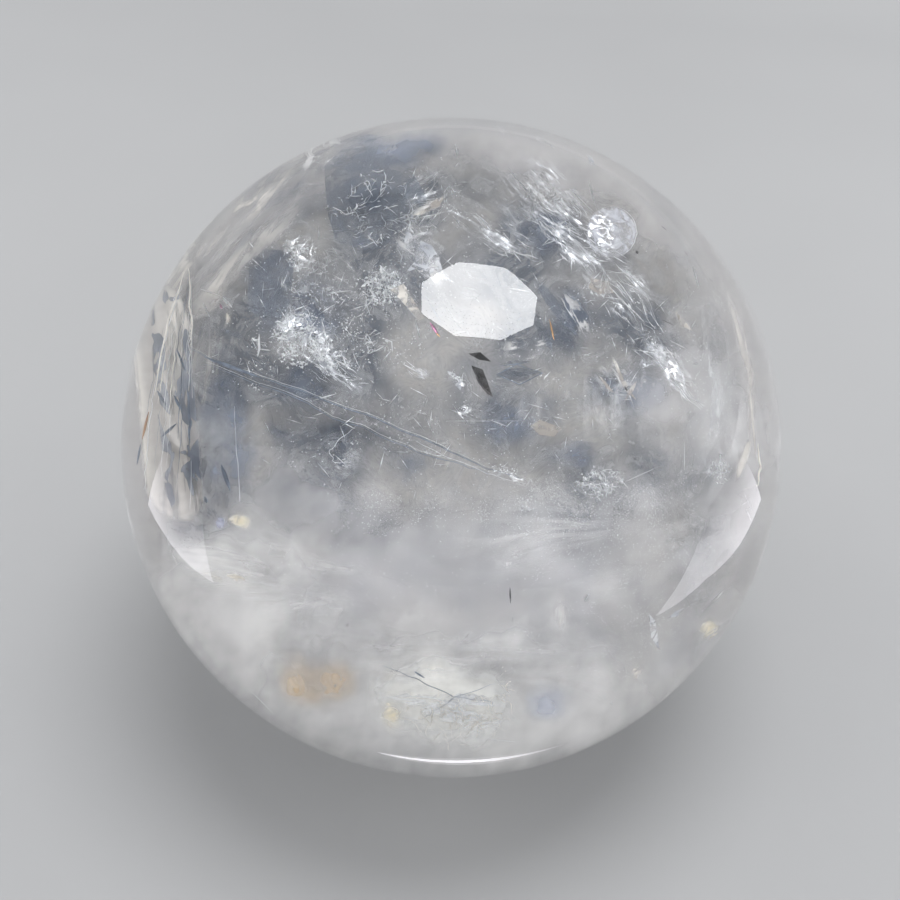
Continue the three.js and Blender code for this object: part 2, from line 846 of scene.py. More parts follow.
@dataclass(frozen=True)
class Lips(Piece):
    """Fine jagged threads over some beds: the lips of healed cracks.

    Each points about the way of heading, in degrees up from the right, and wanders by bend degrees
    a step. Many branch off an earlier one. Most of them are thin. flatness is their section's other
    thickness as a share of the first, and rise how far they lie above or below the bed.
    """

    beds: tuple[tuple[Bed, int], ...]
    length: tuple[float, float] = (0.6, 3.0)
    thickness: tuple[float, float] = (0.02, 0.09)
    bend: float = 34.0
    heading: float = 0.0
    heading_spread: float = 30.0
    branching: float = 0.55
    steps: int = 7
    seed: int = 1
    tries: ClassVar[int] = 6
    least_fade: ClassVar[float] = 0.10
    least_cover: ClassVar[float] = 0.5
    flatness: ClassVar[float] = 0.25
    rise: ClassVar[float] = 0.2

    def path(self, bed: Bed, draw: random.Random, grown: list[tuple[float, float, float]]) -> list[Vector]:
        """Draws one thread's route over a bed.

        Args:
            bed: The bed.
            draw: Where its chance comes from.
            grown: Places and headings of the bed's earlier threads, which this one's are added to.

        Returns:
            Its points, or fewer than three where it would leave the stone or the bed.
        """
        if grown and draw.random() < self.branching:
            across, along, heading = draw.choice(grown)
            heading += draw.choice((-1, 1)) * draw.uniform(0.5, 2.0) * self.heading_spread
        else:
            across, along = draw.uniform(-0.5, 0.5) * bed.wide, draw.uniform(-0.5, 0.5) * bed.high
            heading = self.heading + draw.gauss(0.0, self.heading_spread)
        if bed.fade(across, along) < draw.random():
            return []
        step = (self.length[0] + (self.length[1] - self.length[0]) * draw.random() ** 2) / self.steps
        rise = draw.gauss(0.0, self.rise) * MM
        points: list[Vector] = []
        for _ in range(self.steps + 1):
            point = bed.point(across, along, rise)
            if bed.fade(across, along) < self.least_fade or STONE.cover(point) < self.least_cover:
                break
            points.append(point)
            grown.append((across, along, heading))
            across += step * math.cos(math.radians(heading))
            along += step * math.sin(math.radians(heading))
            heading += draw.gauss(0.0, self.bend)
        return points

    def thread(self, path: list[Vector], draw: random.Random) -> bmesh.types.BMesh:
        """Makes one thread, which swells and thins as it goes."""
        thin, thick = self.thickness
        half = (thin + (thick - thin) * draw.random() ** 3) * MM
        swell = [half * draw.uniform(0.4, 1.6) for _ in path]
        return swept(path, lambda share: swell[round(share * (len(swell) - 1))]
                     * (1 - 0.85 * abs(2 * share - 1) ** 3), self.flatness)

    def shapes(self) -> Iterable[bmesh.types.BMesh]:
        """Makes the threads."""
        draw = random.Random(self.seed)
        for bed, count in self.beds:
            grown: list[tuple[float, float, float]] = []
            paths = (self.path(bed, draw, grown) for _ in range(count * self.tries))
            found = (path for path in paths if len(path) > 2)
            yield from (self.thread(path, draw) for path, _ in zip(found, range(count)))


@dataclass(frozen=True)
class Strand:
    """One blade, thread or needle through some seen places.

    deep is how deep it lies, the same all along or one number for each place. half is half its
    thickness in millimetres, flat its other thickness as a share of that, and sway how far it
    wanders, in seen millimetres. It swells in its middle by as much as it is keen.
    """

    route: Route
    deep: float | tuple[float, ...]
    half: float
    flat: float = 0.4
    sway: float = 0.0
    keen: float = 0.7
    steps: int = 12

    def shape(self, seed: int) -> bmesh.types.BMesh:
        """Makes the strand.

        Args:
            seed: Where its sway comes from.

        Returns:
            Its bmesh.
        """
        depths = self.deep if isinstance(self.deep, tuple) else (self.deep,) * len(self.route)
        spots = [Spot(*place, deep) for place, deep in zip(self.route, depths)]
        legs = len(spots) - 1
        path: list[Vector] = []
        for index in range(self.steps + 1):
            along = index / self.steps * legs
            leg = min(legs - 1, int(along))
            share = smooth(0.0, 1.0, along - leg) if legs > 1 else along - leg
            share = 0.5 * (share + along - leg)
            first, second = spots[leg:leg + 2]
            nudge = noise.noise_vector(Vector((seed * 3.1, along * 2.5, 0.0))) * self.sway
            path.append(Spot(first.x + (second.x - first.x) * share + nudge.x,
                             first.y + (second.y - first.y) * share + nudge.y,
                             first.deep + (second.deep - first.deep) * share).point)

        def thickness(share: float) -> float:
            """Half its thickness at a share of its length."""
            return self.half * MM * max(0.12, math.sin(math.pi * share)) ** self.keen

        return swept(path, thickness, self.flat)


@dataclass(frozen=True)
class Strands(Piece):
    """Blades, threads and needles."""

    strands: tuple[Strand, ...]

    def shapes(self) -> Iterable[bmesh.types.BMesh]:
        """Makes the strands."""
        return (strand.shape(seed) for seed, strand in enumerate(self.strands))


@dataclass(frozen=True)
class Plate:
    """A thin flat splinter with sharp corners, given as seen millimetres, and how deep it lies."""

    corners: Route
    deep: float = 0.25
    thick: float = 0.05

    def shape(self) -> bmesh.types.BMesh:
        """Makes the plate, with its film at full strength."""
        x = sum(corner[0] for corner in self.corners) / len(self.corners)
        y = sum(corner[1] for corner in self.corners) / len(self.corners)
        bed = Bed(x, y, 1.0, 1.0, self.deep, relief=0.0)
        shape = bmesh.new()
        layer = shape.verts.layers.float.new("fade")
        ways = shape.verts.layers.float_vector.new("flow")
        verts = [shape.verts.new(bed.point(corner[0] - x, corner[1] - y)) for corner in self.corners]
        bmesh.ops.contextual_create(shape, geom=verts)
        bmesh.ops.solidify(shape, geom=shape.faces[:], thickness=self.thick * MM)
        bmesh.ops.recalc_face_normals(ordered(shape), faces=shape.faces)
        for vert in shape.verts:
            vert[layer] = 1.0
            vert[ways] = vert.co
        return shape


@dataclass(frozen=True)
class Plates(Piece):
    """Thin flat splinters."""

    plates: tuple[Plate, ...]
    smooth: ClassVar[bool] = False

    def shapes(self) -> Iterable[bmesh.types.BMesh]:
        """Makes the plates."""
        return (plate.shape() for plate in self.plates)


# Finishes of the films, threads and chips
CLOUDY = Film("cloudy", Pattern.CLOUD, 120.0, low=0.35, high=0.65, swirl=0.8, detail=5.0, metal=0.2,
              roughness=0.6, through=0.3)
CRACKLE = Film("snow_crackle", scale=620.0, low=1.0, high=1.7, strength=0.95, gather=0.9, patch=0.22,
               swirl=1.4, detail=5.0, roughness=0.38)
CURLED = Film("curled_web", scale=520.0, low=1.2, high=2.0, strength=0.62, gather=0.95, patch=0.2,
              swirl=2.4, detail=3.0, roughness=0.38)
STREAKED = Film("streaked_web", scale=600.0, low=0.9, high=1.8, strength=1.0, gather=0.75, patch=0.2,
                swirl=0.5, roughness=0.36, stretch=(0.14, 1.0, 1.0))
VEIL = replace(CLOUDY, name="soft_veil", scale=460.0, low=0.46, high=0.64, strength=0.50, swirl=1.8,
               gather=0.7, grit=0.7, metal=0.5, roughness=0.45)
CREAM_WEB = Film("cream_web", scale=420.0, low=0.5, high=1.5, swirl=1.0, tint=CREAM, shade=SAND, metal=0.7,
                 roughness=0.45)
MILK = replace(CLOUDY, name="milk", scale=34.0, low=0.28, high=0.62, strength=0.86, veil=0.52, swirl=1.0,
               detail=3.0, patch=2.6, tint=(0.64, 0.62, 0.61), shade=(0.57, 0.56, 0.57), metal=0.0,
               through=0.0)
# Lower haze: partly whiter haze and partly painted light, a brighter copy of the milk where the overhead
# light only grazes the low films.
LOW_MILK_PAINTED_LIGHT = replace(MILK, name="low_milk_painted_light", strength=0.86, veil=0.60, tint=(0.98, 0.96, 0.93),
                   shade=(0.90, 0.88, 0.86))
SIDE_MILK = replace(MILK, name="side_milk", scale=60.0, strength=0.70, veil=0.35, tint=(0.66, 0.64, 0.64),
                    shade=(0.55, 0.54, 0.54))
FINE_MILK = replace(CLOUDY, name="fine_milk", scale=260.0, low=0.46, high=0.76, strength=0.6, swirl=1.4,
                    gather=0.8, patch=0.2, tint=(0.98, 0.97, 0.95), shade=(0.80, 0.78, 0.76), metal=0.2,
                    roughness=0.5)
SWEEPS = replace(CLOUDY, name="haze_sweeps", scale=230.0, low=0.44, high=0.72, strength=0.6, swirl=0.7,
                 tint=(0.98, 0.96, 0.94), shade=(0.74, 0.72, 0.72), stretch=(0.18, 1.0, 1.0), patch=0.5)
COLUMNS = replace(CLOUDY, name="soft_columns", scale=330.0, low=0.44, high=0.66, strength=0.6, swirl=0.3,
                  tint=WHITE, shade=(0.86, 0.82, 0.77), stretch=(1.0, 0.16, 1.0))
RIM_MILK = replace(CLOUDY, name="rim_milk", scale=120.0, low=0.30, high=0.66, strength=0.88, veil=0.70,
                   swirl=0.9, detail=3.0, tint=(0.46, 0.44, 0.43), shade=(0.34, 0.33, 0.325),
                   stretch=(0.3, 1.0, 1.0), patch=0.5, metal=0.0, through=0.0)
DRAPERY = replace(CLOUDY, name="drapery", scale=300.0, low=0.46, high=0.60, strength=0.80, swirl=1.6,
                  tint=(0.78, 0.74, 0.68), shade=(0.20, 0.21, 0.24), stretch=(0.20, 1.0, 1.0), patch=0.6)
MOTTLE = replace(CLOUDY, name="mottled_grey", scale=230.0, low=0.38, high=0.60, strength=0.86, veil=0.40,
                 swirl=1.5, detail=4.0, grit=0.8, tint=(0.54, 0.51, 0.48), shade=(0.12, 0.14, 0.175),
                 patch=0.42, metal=0.0)
SMOKE = replace(CLOUDY, name="smoke", scale=170.0, low=0.26, high=0.56, strength=0.90, veil=0.25,
                detail=4.0, tint=(0.17, 0.20, 0.26), shade=(0.05, 0.065, 0.09), metal=0.0, through=0.0)
FLAKY = replace(CLOUDY, name="pale_flaky", scale=420.0, low=0.46, high=0.54, strength=0.62, veil=0.10,
                swirl=1.8, detail=6.0, tint=(0.86, 0.86, 0.87), shade=(0.46, 0.48, 0.52), metal=0.3,
                roughness=0.5, patch=0.7)
SILVER_THREAD = Pearl("silver_threads", shade=WHITE, roughness=0.42)
SNOW_CHIP = Pearl("snow_chips", shade=WHITE, roughness=0.42)
CREAM_BLADE = Pearl("cream_blades", CREAM, (0.88, 0.84, 0.77), 0.35, 0.45)
SLATE_BLADE = Pearl("slate_blades", (0.20, 0.24, 0.30), SLATE, 0.3, 0.4)
DARK_MINERAL = Pearl("dark_mineral", (0.10, 0.09, 0.09), INK, 0.1, 0.45)
FRACTURE_FILM = replace(CURLED, name="fracture_film", strength=0.5)
FRACTURE_SAND = replace(FINE_MILK, name="fracture_sand", strength=0.8, tint=(0.60, 0.55, 0.48),
                        shade=(0.32, 0.30, 0.28), metal=0.0)
LIMB_CREAM = replace(CLOUDY, name="limb_cream", scale=230.0, low=0.44, high=0.50, strength=0.92, veil=0.45,
                     swirl=1.0, tint=(0.90, 0.86, 0.79), shade=(0.56, 0.53, 0.50), stretch=(1.0, 0.14, 1.0),
                     patch=0.8, metal=0.0)
LIMB_CELLS = replace(LIMB_CREAM, name="limb_cells", scale=360.0, low=0.545, high=0.565, strength=0.85,
                     veil=0.0, swirl=0.5, detail=2.0, tint=(0.36, 0.38, 0.42), shade=(0.16, 0.18, 0.22),
                     stretch=(1.0, 0.42, 1.0))
RIGHT_CREAM = replace(LIMB_CREAM, name="right_cream", low=0.40, high=0.60, strength=0.85, veil=0.15)
RUSTY_SLIVER = Pearl("rusty_sliver", (0.42, 0.24, 0.12), (0.28, 0.14, 0.07), 0.1, 0.5)
# A painted reflection: a near-white film for the overhead light as it is mirrored inside the lower patch.
PAINTED_REFLECTION = replace(CLOUDY, name="painted_reflection_cream", scale=160.0, low=0.25, high=0.6, strength=0.97, veil=0.7,
                      tint=(0.99, 0.98, 0.93), shade=(0.97, 0.95, 0.89), metal=0.0, roughness=0.5,
                      through=0.0)
# The patch's crackle is real; its near-white colour is partly a painted reflection of the mirrored overhead
# light.
PATCH_CRACKLE = replace(STREAKED, name="patch_crackle", scale=520.0, low=0.5, gather=0.3,
                        stretch=(0.3, 1.0, 1.0), tint=(1.0, 0.99, 0.94), metal=0.0)
PATCH_GOLD = replace(CLOUDY, name="patch_gold", scale=300.0, strength=0.8, tint=(0.99, 0.86, 0.58),
                     shade=CREAM, metal=0.0, through=0.0)
PATCH_BLUE = replace(SMOKE, name="patch_blue", strength=0.55, tint=(0.42, 0.46, 0.58),
                     shade=(0.34, 0.38, 0.50))
RUST = replace(CLOUDY, name="rust", scale=200.0, low=0.15, high=0.85, strength=0.85, swirl=0.4, detail=3.0,
               tint=(0.98, 0.78, 0.55), shade=(0.96, 0.72, 0.46), metal=0.0, through=0.0)
OCHRE = replace(RUST, name="ochre", tint=(0.88, 0.64, 0.38), shade=(0.80, 0.56, 0.30))
GOLD_FLASH = replace(CREAM_WEB, name="gold_flash", tint=(0.99, 0.90, 0.68), low=0.3, high=1.1)
VIOLET_FLASH = replace(CREAM_WEB, name="violet_flash", strength=0.7, tint=(0.80, 0.79, 0.98),
                       shade=(0.60, 0.66, 0.90))
ROSE_FLECK = Pearl("rose_fleck", (0.90, 0.50, 0.72), (0.85, 0.42, 0.60))
AMBER_FLECK = Pearl("amber_fleck", (0.86, 0.58, 0.30), (0.76, 0.48, 0.24))
SHELL_FILM = replace(CLOUDY, name="shell_film", scale=420.0, low=0.40, high=0.62, strength=0.50, veil=0.14,
                     swirl=1.6, shade=(0.84, 0.86, 0.95), metal=0.3, roughness=0.45)
SHELL_CRACKLE = replace(CRACKLE, name="shell_crackle")
FEATHER_CRACKLE = replace(CRACKLE, name="feather_crackle", low=0.8, high=1.4, gather=0.5)
CREAM_FLAKY = replace(FLAKY, name="cream_flaky", strength=0.72, veil=0.2, tint=(0.88, 0.84, 0.77),
                      shade=(0.44, 0.40, 0.36))
DUSKY_FLAKY = replace(FLAKY, name="dusky_flaky", strength=0.9, veil=0.6, tint=(0.09, 0.085, 0.08),
                      shade=(0.03, 0.03, 0.03), metal=0.0)
SLATE_FLAKY = replace(FLAKY, name="slate_flaky", strength=0.42, veil=0.15, tint=(0.20, 0.23, 0.28),
                      shade=(0.12, 0.14, 0.17), metal=0.0)
PALE_FLAKE = replace(CLOUDY, name="pale_flake", scale=420.0, low=0.50, high=0.58, strength=0.8, swirl=1.6,
                     tint=(0.93, 0.91, 0.88), shade=(0.70, 0.69, 0.68), stretch=(0.35, 1.0, 1.0), metal=0.3,
                     roughness=0.5)


@dataclass(frozen=True)
class UpperVeils:
    """The healed cracks of the upper half: crackled, curled and streaked."""

    crackled: tuple[Bed, ...] = (
        Bed(-23.0, 16.8, 10.5, 9.5, 0.27, spin=-12), Bed(-22.6, 29.8, 6.5, 5.4, 0.27, spin=-38),
        Bed(-18.0, 14.0, 7, 3.4, 0.27, spin=-32), Bed(-10.6, 25.0, 8, 7, 0.30), Bed(-18.0, 23.6, 4, 2),
        Bed(14.5, 40.2, 7, 7, 0.30, spin=-30), Bed(0.9, 10.3, 4.6, 1.8, 0.26, spin=-35),
        Bed(1.8, 5.5, 2.8, 1.6, 0.26, spin=30), Bed(22.2, 24.2, 4.6, 2.4, 0.28, spin=-25),
        Bed(22.2, -5.2, 8.5, 4.6, 0.20, spin=12), Bed(11.6, -8.8, 3.6, 1.8, 0.20, spin=24),
        Bed(40.2, -3.1, 4.2, 4.6, 0.18, spin=30))
    curled: tuple[Bed, ...] = (
        Bed(-20.5, 22.0, 18, 24, 0.31, spin=-8), Bed(-29.2, 16.5, 3.5, 14, 0.26, spin=-6),
        Bed(-11.0, 25.5, 13, 12, 0.32), Bed(-12.0, 14.5, 16, 9, 0.34), Bed(-12.5, 38.5, 17, 15, 0.30),
        Bed(-4.5, 40.0, 14, 8, 0.28, spin=-18), Bed(20.5, 23.5, 5, 4, 0.3), Bed(14.6, 10.5, 3.5, 3, 0.3))
    streaked: tuple[Bed, ...] = (
        Bed(12.5, 40.5, 20, 11, 0.31, spin=-50), Bed(18.5, 32.5, 20, 8, 0.29, spin=-33),
        Bed(15.5, 39.0, 12, 7, 0.27, spin=-44), Bed(6.5, 33.0, 16, 6, 0.31, spin=-30),
        Bed(26, 24, 18, 8, 0.30, spin=-48), Bed(33.0, 12.5, 16, 4.5, 0.24, spin=-54),
        Bed(-4.5, 39.5, 11, 5, 0.30, spin=28), Bed(-19, 13, 16, 5, 0.3, spin=-33),
        Bed(-6, 12.2, 6, 3, 0.25, spin=-33))
    veils: tuple[Bed, ...] = (
        Bed(-22, 20, 15, 17, 0.33), Bed(-5.3, 31, 9, 7, 0.26, spin=-20), Bed(12, 37, 20, 14, 0.35, spin=-40),
        Bed(25, 26, 16, 12, 0.34, spin=-40), Bed(11.5, 15.0, 7, 4.5, 0.24), Bed(27, 8, 16, 14, 0.36),
        Bed(-17, -1, 9, 9, 0.34))
    smoke_curls: Bed = Bed(-12.0, 36.6, 16, 13, 0.19, spin=-8, hug=1.0, core=0.6, ragged=0.2)
    scratched: tuple[tuple[Bed, int], ...] = (
        (Bed(0, 18, 90, 56, 0.33, hug=0.8, core=0.6), 800), (Bed(-18, 22, 34, 34, 0.30), 700),
        (Bed(24, 20, 34, 40, 0.30), 420), (Bed(-6, 2, 60, 20, 0.33, hug=0.8), 420),
        (Bed(-8, 38, 28, 20, 0.28), 520))

    def build(self) -> None:
        """Builds the films, and the threads and chips on them."""
        spread = {"tumble": 12.0, "clump": 0.9}
        Strewn("fine_scratches", SILVER_THREAD, tuple((bed, count // 4) for bed, count in self.scratched),
               (0.3, 3.0), ChipShape.SLIVER, thick=1.0, seed=21, **spread).build()
        Strewn("fine_dots", SNOW_CHIP, self.scratched, (0.05, 0.30), thick=1.2, seed=22, **spread).build()
        Films("crackled_veils", CRACKLE, self.crackled).build()
        Films("curled_veils", CURLED, self.curled).build()
        Films("streaked_veils", STREAKED, self.streaked).build()
        Films("soft_veils", VEIL, self.veils).build()
        Lips("crackle_lips", SILVER_THREAD, self.counted(self.crackled, 1.5), (0.4, 2.4), (0.02, 0.13),
             bend=22.0, heading=-30.0, heading_spread=38.0, steps=6, seed=5).build()
        Lips("curl_lips", SILVER_THREAD, self.counted(self.curled, 0.26), (0.4, 3.2), (0.015, 0.10),
             bend=20.0, heading=-28.0, heading_spread=34.0, branching=0.6, steps=6, seed=6).build()
        Lips("smoke_lips", SILVER_THREAD, self.counted((self.smoke_curls,), 0.75), (0.4, 3.0), (0.02, 0.10),
             bend=18.0, heading=32.0, heading_spread=30.0, branching=0.4, steps=6, seed=16).build()
        Lips("streak_lips", SILVER_THREAD, self.counted(self.streaked, 0.5), (0.7, 5.0), (0.012, 0.07),
             bend=7.0, heading=0.0, heading_spread=8.0, branching=0.3, steps=6, seed=7).build()
        Strewn("crackle_chips", SNOW_CHIP, self.counted(self.crackled, 3.0), (0.07, 0.6), seed=8,
               **spread).build()
        Strewn("curl_chips", SNOW_CHIP, self.counted(self.curled, 0.9), (0.06, 0.35), seed=9,
               **spread).build()

    @staticmethod
    def counted(beds: tuple[Bed, ...], density: float) -> tuple[tuple[Bed, int], ...]:
        """Gives each bed a count, so many to the square millimetre."""
        return tuple((bed, round(bed.wide * bed.high * density)) for bed in beds)


@dataclass(frozen=True)
class GreyDepths:
    """Smoky and mottled matter, which gives the clear quartz its depth."""

    mottled: Bed = Bed(0, 10, 108, 96, 0.44, hug=1.0, core=0.75, square=3.0)
    drapes: tuple[Bed, ...] = (
        Bed(-33, 33, 46, 22, 0.22, spin=48, hug=1), Bed(-19, 43, 30, 16, 0.21, spin=22, hug=1),
        Bed(-40, 12, 40, 16, 0.23, spin=82, hug=1))
    smoky: tuple[Bed, ...] = (
        Bed(-12.9, 38.6, 12.5, 14, 0.22, spin=-10, hug=1.0), Bed(-8.0, 45.0, 17, 5, 0.20, spin=8, hug=1.0),
        Bed(-27.6, 27, 7, 11, 0.36), Bed(-33.5, 4, 8, 24, 0.35),
        Bed(-6.5, -2.2, 9, 6, 0.33), Bed(-12.7, 46.6, 5.4, 2.2, 0.2), Bed(-17, 3, 20, 8, 0.45),
        Bed(8, 4, 14, 8, 0.42), Bed(-22, 9, 12, 7, 0.42), Bed(19, -1.6, 8, 4, 0.4),
        Bed(17, 18, 8, 12, 0.42, spin=-20), Bed(-22, 20, 11, 14, 0.36), Bed(27, 9, 12, 8, 0.38),
        Bed(14, 34, 10, 9, 0.36, spin=-40))
    growth: float = 1.3

    def build(self) -> None:
        """Builds them, from the deepest to the nearest."""
        soft = {"relief": 1.0, "crumple": 100.0}
        Films("mottled_depths", MOTTLE, alike((self.mottled,), cell=1.2, **soft)).build()
        Films("grey_drapery", DRAPERY, alike(self.drapes, core=0.2, cell=0.8, **soft)).build()
        wider = (replace(bed, wide=bed.wide * self.growth,
                         high=bed.high * self.growth) for bed in self.smoky)
        Films("smoky_depths", SMOKE, alike(wider, core=0.0, ragged=0.6, cell=0.8, **soft)).build()


@dataclass(frozen=True)
class LowerHaze:
    """The milky haze of the lower half, with the snow along its upper edge."""

    milky: Bed = Bed(0, -31, 112, 60, 0.20, square=3.5, core=0.42, hug=1.0, ragged=0.16)
    rim: Bed = Bed(0, 0, 106, 106, 0.26, core=0.99, hug=1.0, ragged=0.0, hollow=40.0)
    low: tuple[Bed, ...] = (
        Bed(2, -41, 100, 40, 0.15, square=2.6, core=0.0, hug=1.0, ragged=0.3),
        Bed(-32, -26, 40, 36, 0.16, core=0.0, hug=1.0, ragged=0.3))
    sweeps: tuple[Bed, ...] = (
        Bed(-26, -20, 50, 18, 0.16, spin=-7, core=0.2), Bed(20, -14, 56, 20, 0.17, spin=5, core=0.2),
        Bed(0, -32, 76, 16, 0.13, spin=-3, core=0.2))
    sides: tuple[Bed, ...] = (
        Bed(41, 3, 34, 56, 0.24, core=0.0, hug=1.0, ragged=0.4),
        Bed(-24, -9, 32, 18, 0.29, core=0.0, hug=1.0, ragged=0.5))
    columns: tuple[Bed, ...] = (
        Bed(10.8, 6.8, 2.4, 7, 0.30), Bed(12.8, 6.6, 1.9, 7, 0.30), Bed(23, 6, 20, 15, 0.36),
        Bed(16.2, -25, 4, 10, 0.12), Bed(-32, 2, 8, 22, 0.38), Bed(40, 12, 12, 40, 0.24, hug=0.7, spin=4))
    snow: tuple[tuple[Bed, int], ...] = (
        (Bed(6, -9, 62, 10, 0.18), 2600), (Bed(26, -12, 38, 22, 0.17), 2600),
        (Bed(30, -30, 34, 28, 0.12), 1200),
        (Bed(0, -28, 92, 36, 0.12, hug=1.0), 1500), (Bed(-36, -26, 22, 24, 0.12), 300),
        (Bed(38, 10, 18, 46, 0.2), 1500))

    def build(self) -> None:
        """Builds the milky films, the soft columns and the snow."""
        soft = {"relief": 1.4, "crumple": 50.0, "cell": 1.2}
        Films("milky_haze", MILK, alike((self.milky,), **soft)).build()
        # The low films' whiter tone is partly painted light, making up for the overhead light that only
        # grazes them.
        Films("low_haze_painted_light", LOW_MILK_PAINTED_LIGHT, alike(self.low, **soft)).build()
        Films("haze_sweeps", SWEEPS, alike(self.sweeps, **soft)).build()
        Films("rim_haze", RIM_MILK, alike((self.rim,), **(soft | {"cell": 0.7}))).build()
        Films("side_haze", SIDE_MILK, alike(self.sides, **soft)).build()
        Films("haze_columns", COLUMNS, alike(self.columns, core=0.1, cell=0.6)).build()
        Strewn("haze_snow", SNOW_CHIP, self.snow, (0.05, 0.16), thick=0.8, tumble=13.0, seed=11).build()


@dataclass(frozen=True)
class LongFracture:
    """The long straight fracture that falls from the left limb to the middle."""

    upper: tuple[Spot, ...] = (
        Spot(-39.5, 15.1, 0.10), Spot(-35.6, 12.9, 0.16), Spot(-29.1, 10.8, 0.20), Spot(-21.8, 8.1, 0.24),
        Spot(-13.8, 5.2, 0.26), Spot(-5.3, 1.7, 0.27), Spot(0.1, -0.8, 0.27), Spot(5.6, -3.3, 0.27),
        Spot(11.3, -4.8, 0.27))
    lower: tuple[Spot, ...] = (
        Spot(-37.3, 12.9, 0.13), Spot(-29.1, 9.9, 0.20), Spot(-21.8, 6.9, 0.24), Spot(-17.1, 4.3, 0.25),
        Spot(-13.8, 3.4, 0.26), Spot(-5.3, -0.4, 0.27), Spot(2.5, -2.6, 0.27), Spot(5.9, -3.7, 0.27))
    plane: Bed = Bed(-15.5, 5.6, 52, 3.6, 0.25, spin=-24.5, square=4.0, ragged=0.2, relief=0.3)
    fill: Bed = Bed(-9.4, 1.7, 11, 3.0, 0.26, spin=-27, ragged=0.3)
    end: Bed = Bed(9.0, -4.4, 8, 1.8, 0.26, spin=-14)
    dots: tuple[tuple[Bed, int], ...] = (
        (Bed(-29.2, 9.0, 3.2, 1.1, 0.19, spin=-20), 26), (Bed(-36.0, 11.6, 1.0, 0.8, 0.14), 6),
        (Bed(8.5, -3.4, 5.5, 1.6, 0.25, spin=-10), 60))

    def edge(self, spots: tuple[Spot, ...], rise: float, half: float) -> Strand:
        """Gives a thin strand along one lip, raised by some seen millimetres."""
        route = tuple((spot.x, spot.y + rise) for spot in spots)
        return Strand(route, tuple(spot.deep for spot in spots), half, 0.5, sway=0.32, keen=0.35, steps=48)

    def build(self) -> None:
        """Builds the fracture's film, its dark and bright lips and the dots on it."""
        Films("fracture_plane", FRACTURE_FILM, (self.plane,)).build()
        Films("fracture_fill", FRACTURE_SAND, (self.fill,)).build()
        Films("fracture_end", CRACKLE, (self.end,)).build()
        Strands("fracture_dark_lips", SLATE_BLADE, (
            self.edge(self.upper, 0.0, 0.075), self.edge(self.lower, -0.25, 0.06),
            Strand(((-37.3, 13.7), (-33.0, 12.1), (-29.0, 10.6)), (0.12, 0.15, 0.18), 0.24, 0.3))).build()
        Strands("fracture_bright_lips", SILVER_THREAD, (
            self.edge(self.upper, 0.30, 0.022), self.edge(self.lower, 0.10, 0.022),
            self.edge(self.upper[5:], -0.8, 0.035))).build()
        Strewn("fracture_dots", SNOW_CHIP, self.dots, (0.12, 0.34), tumble=15.0, thick=0.1, seed=12).build()


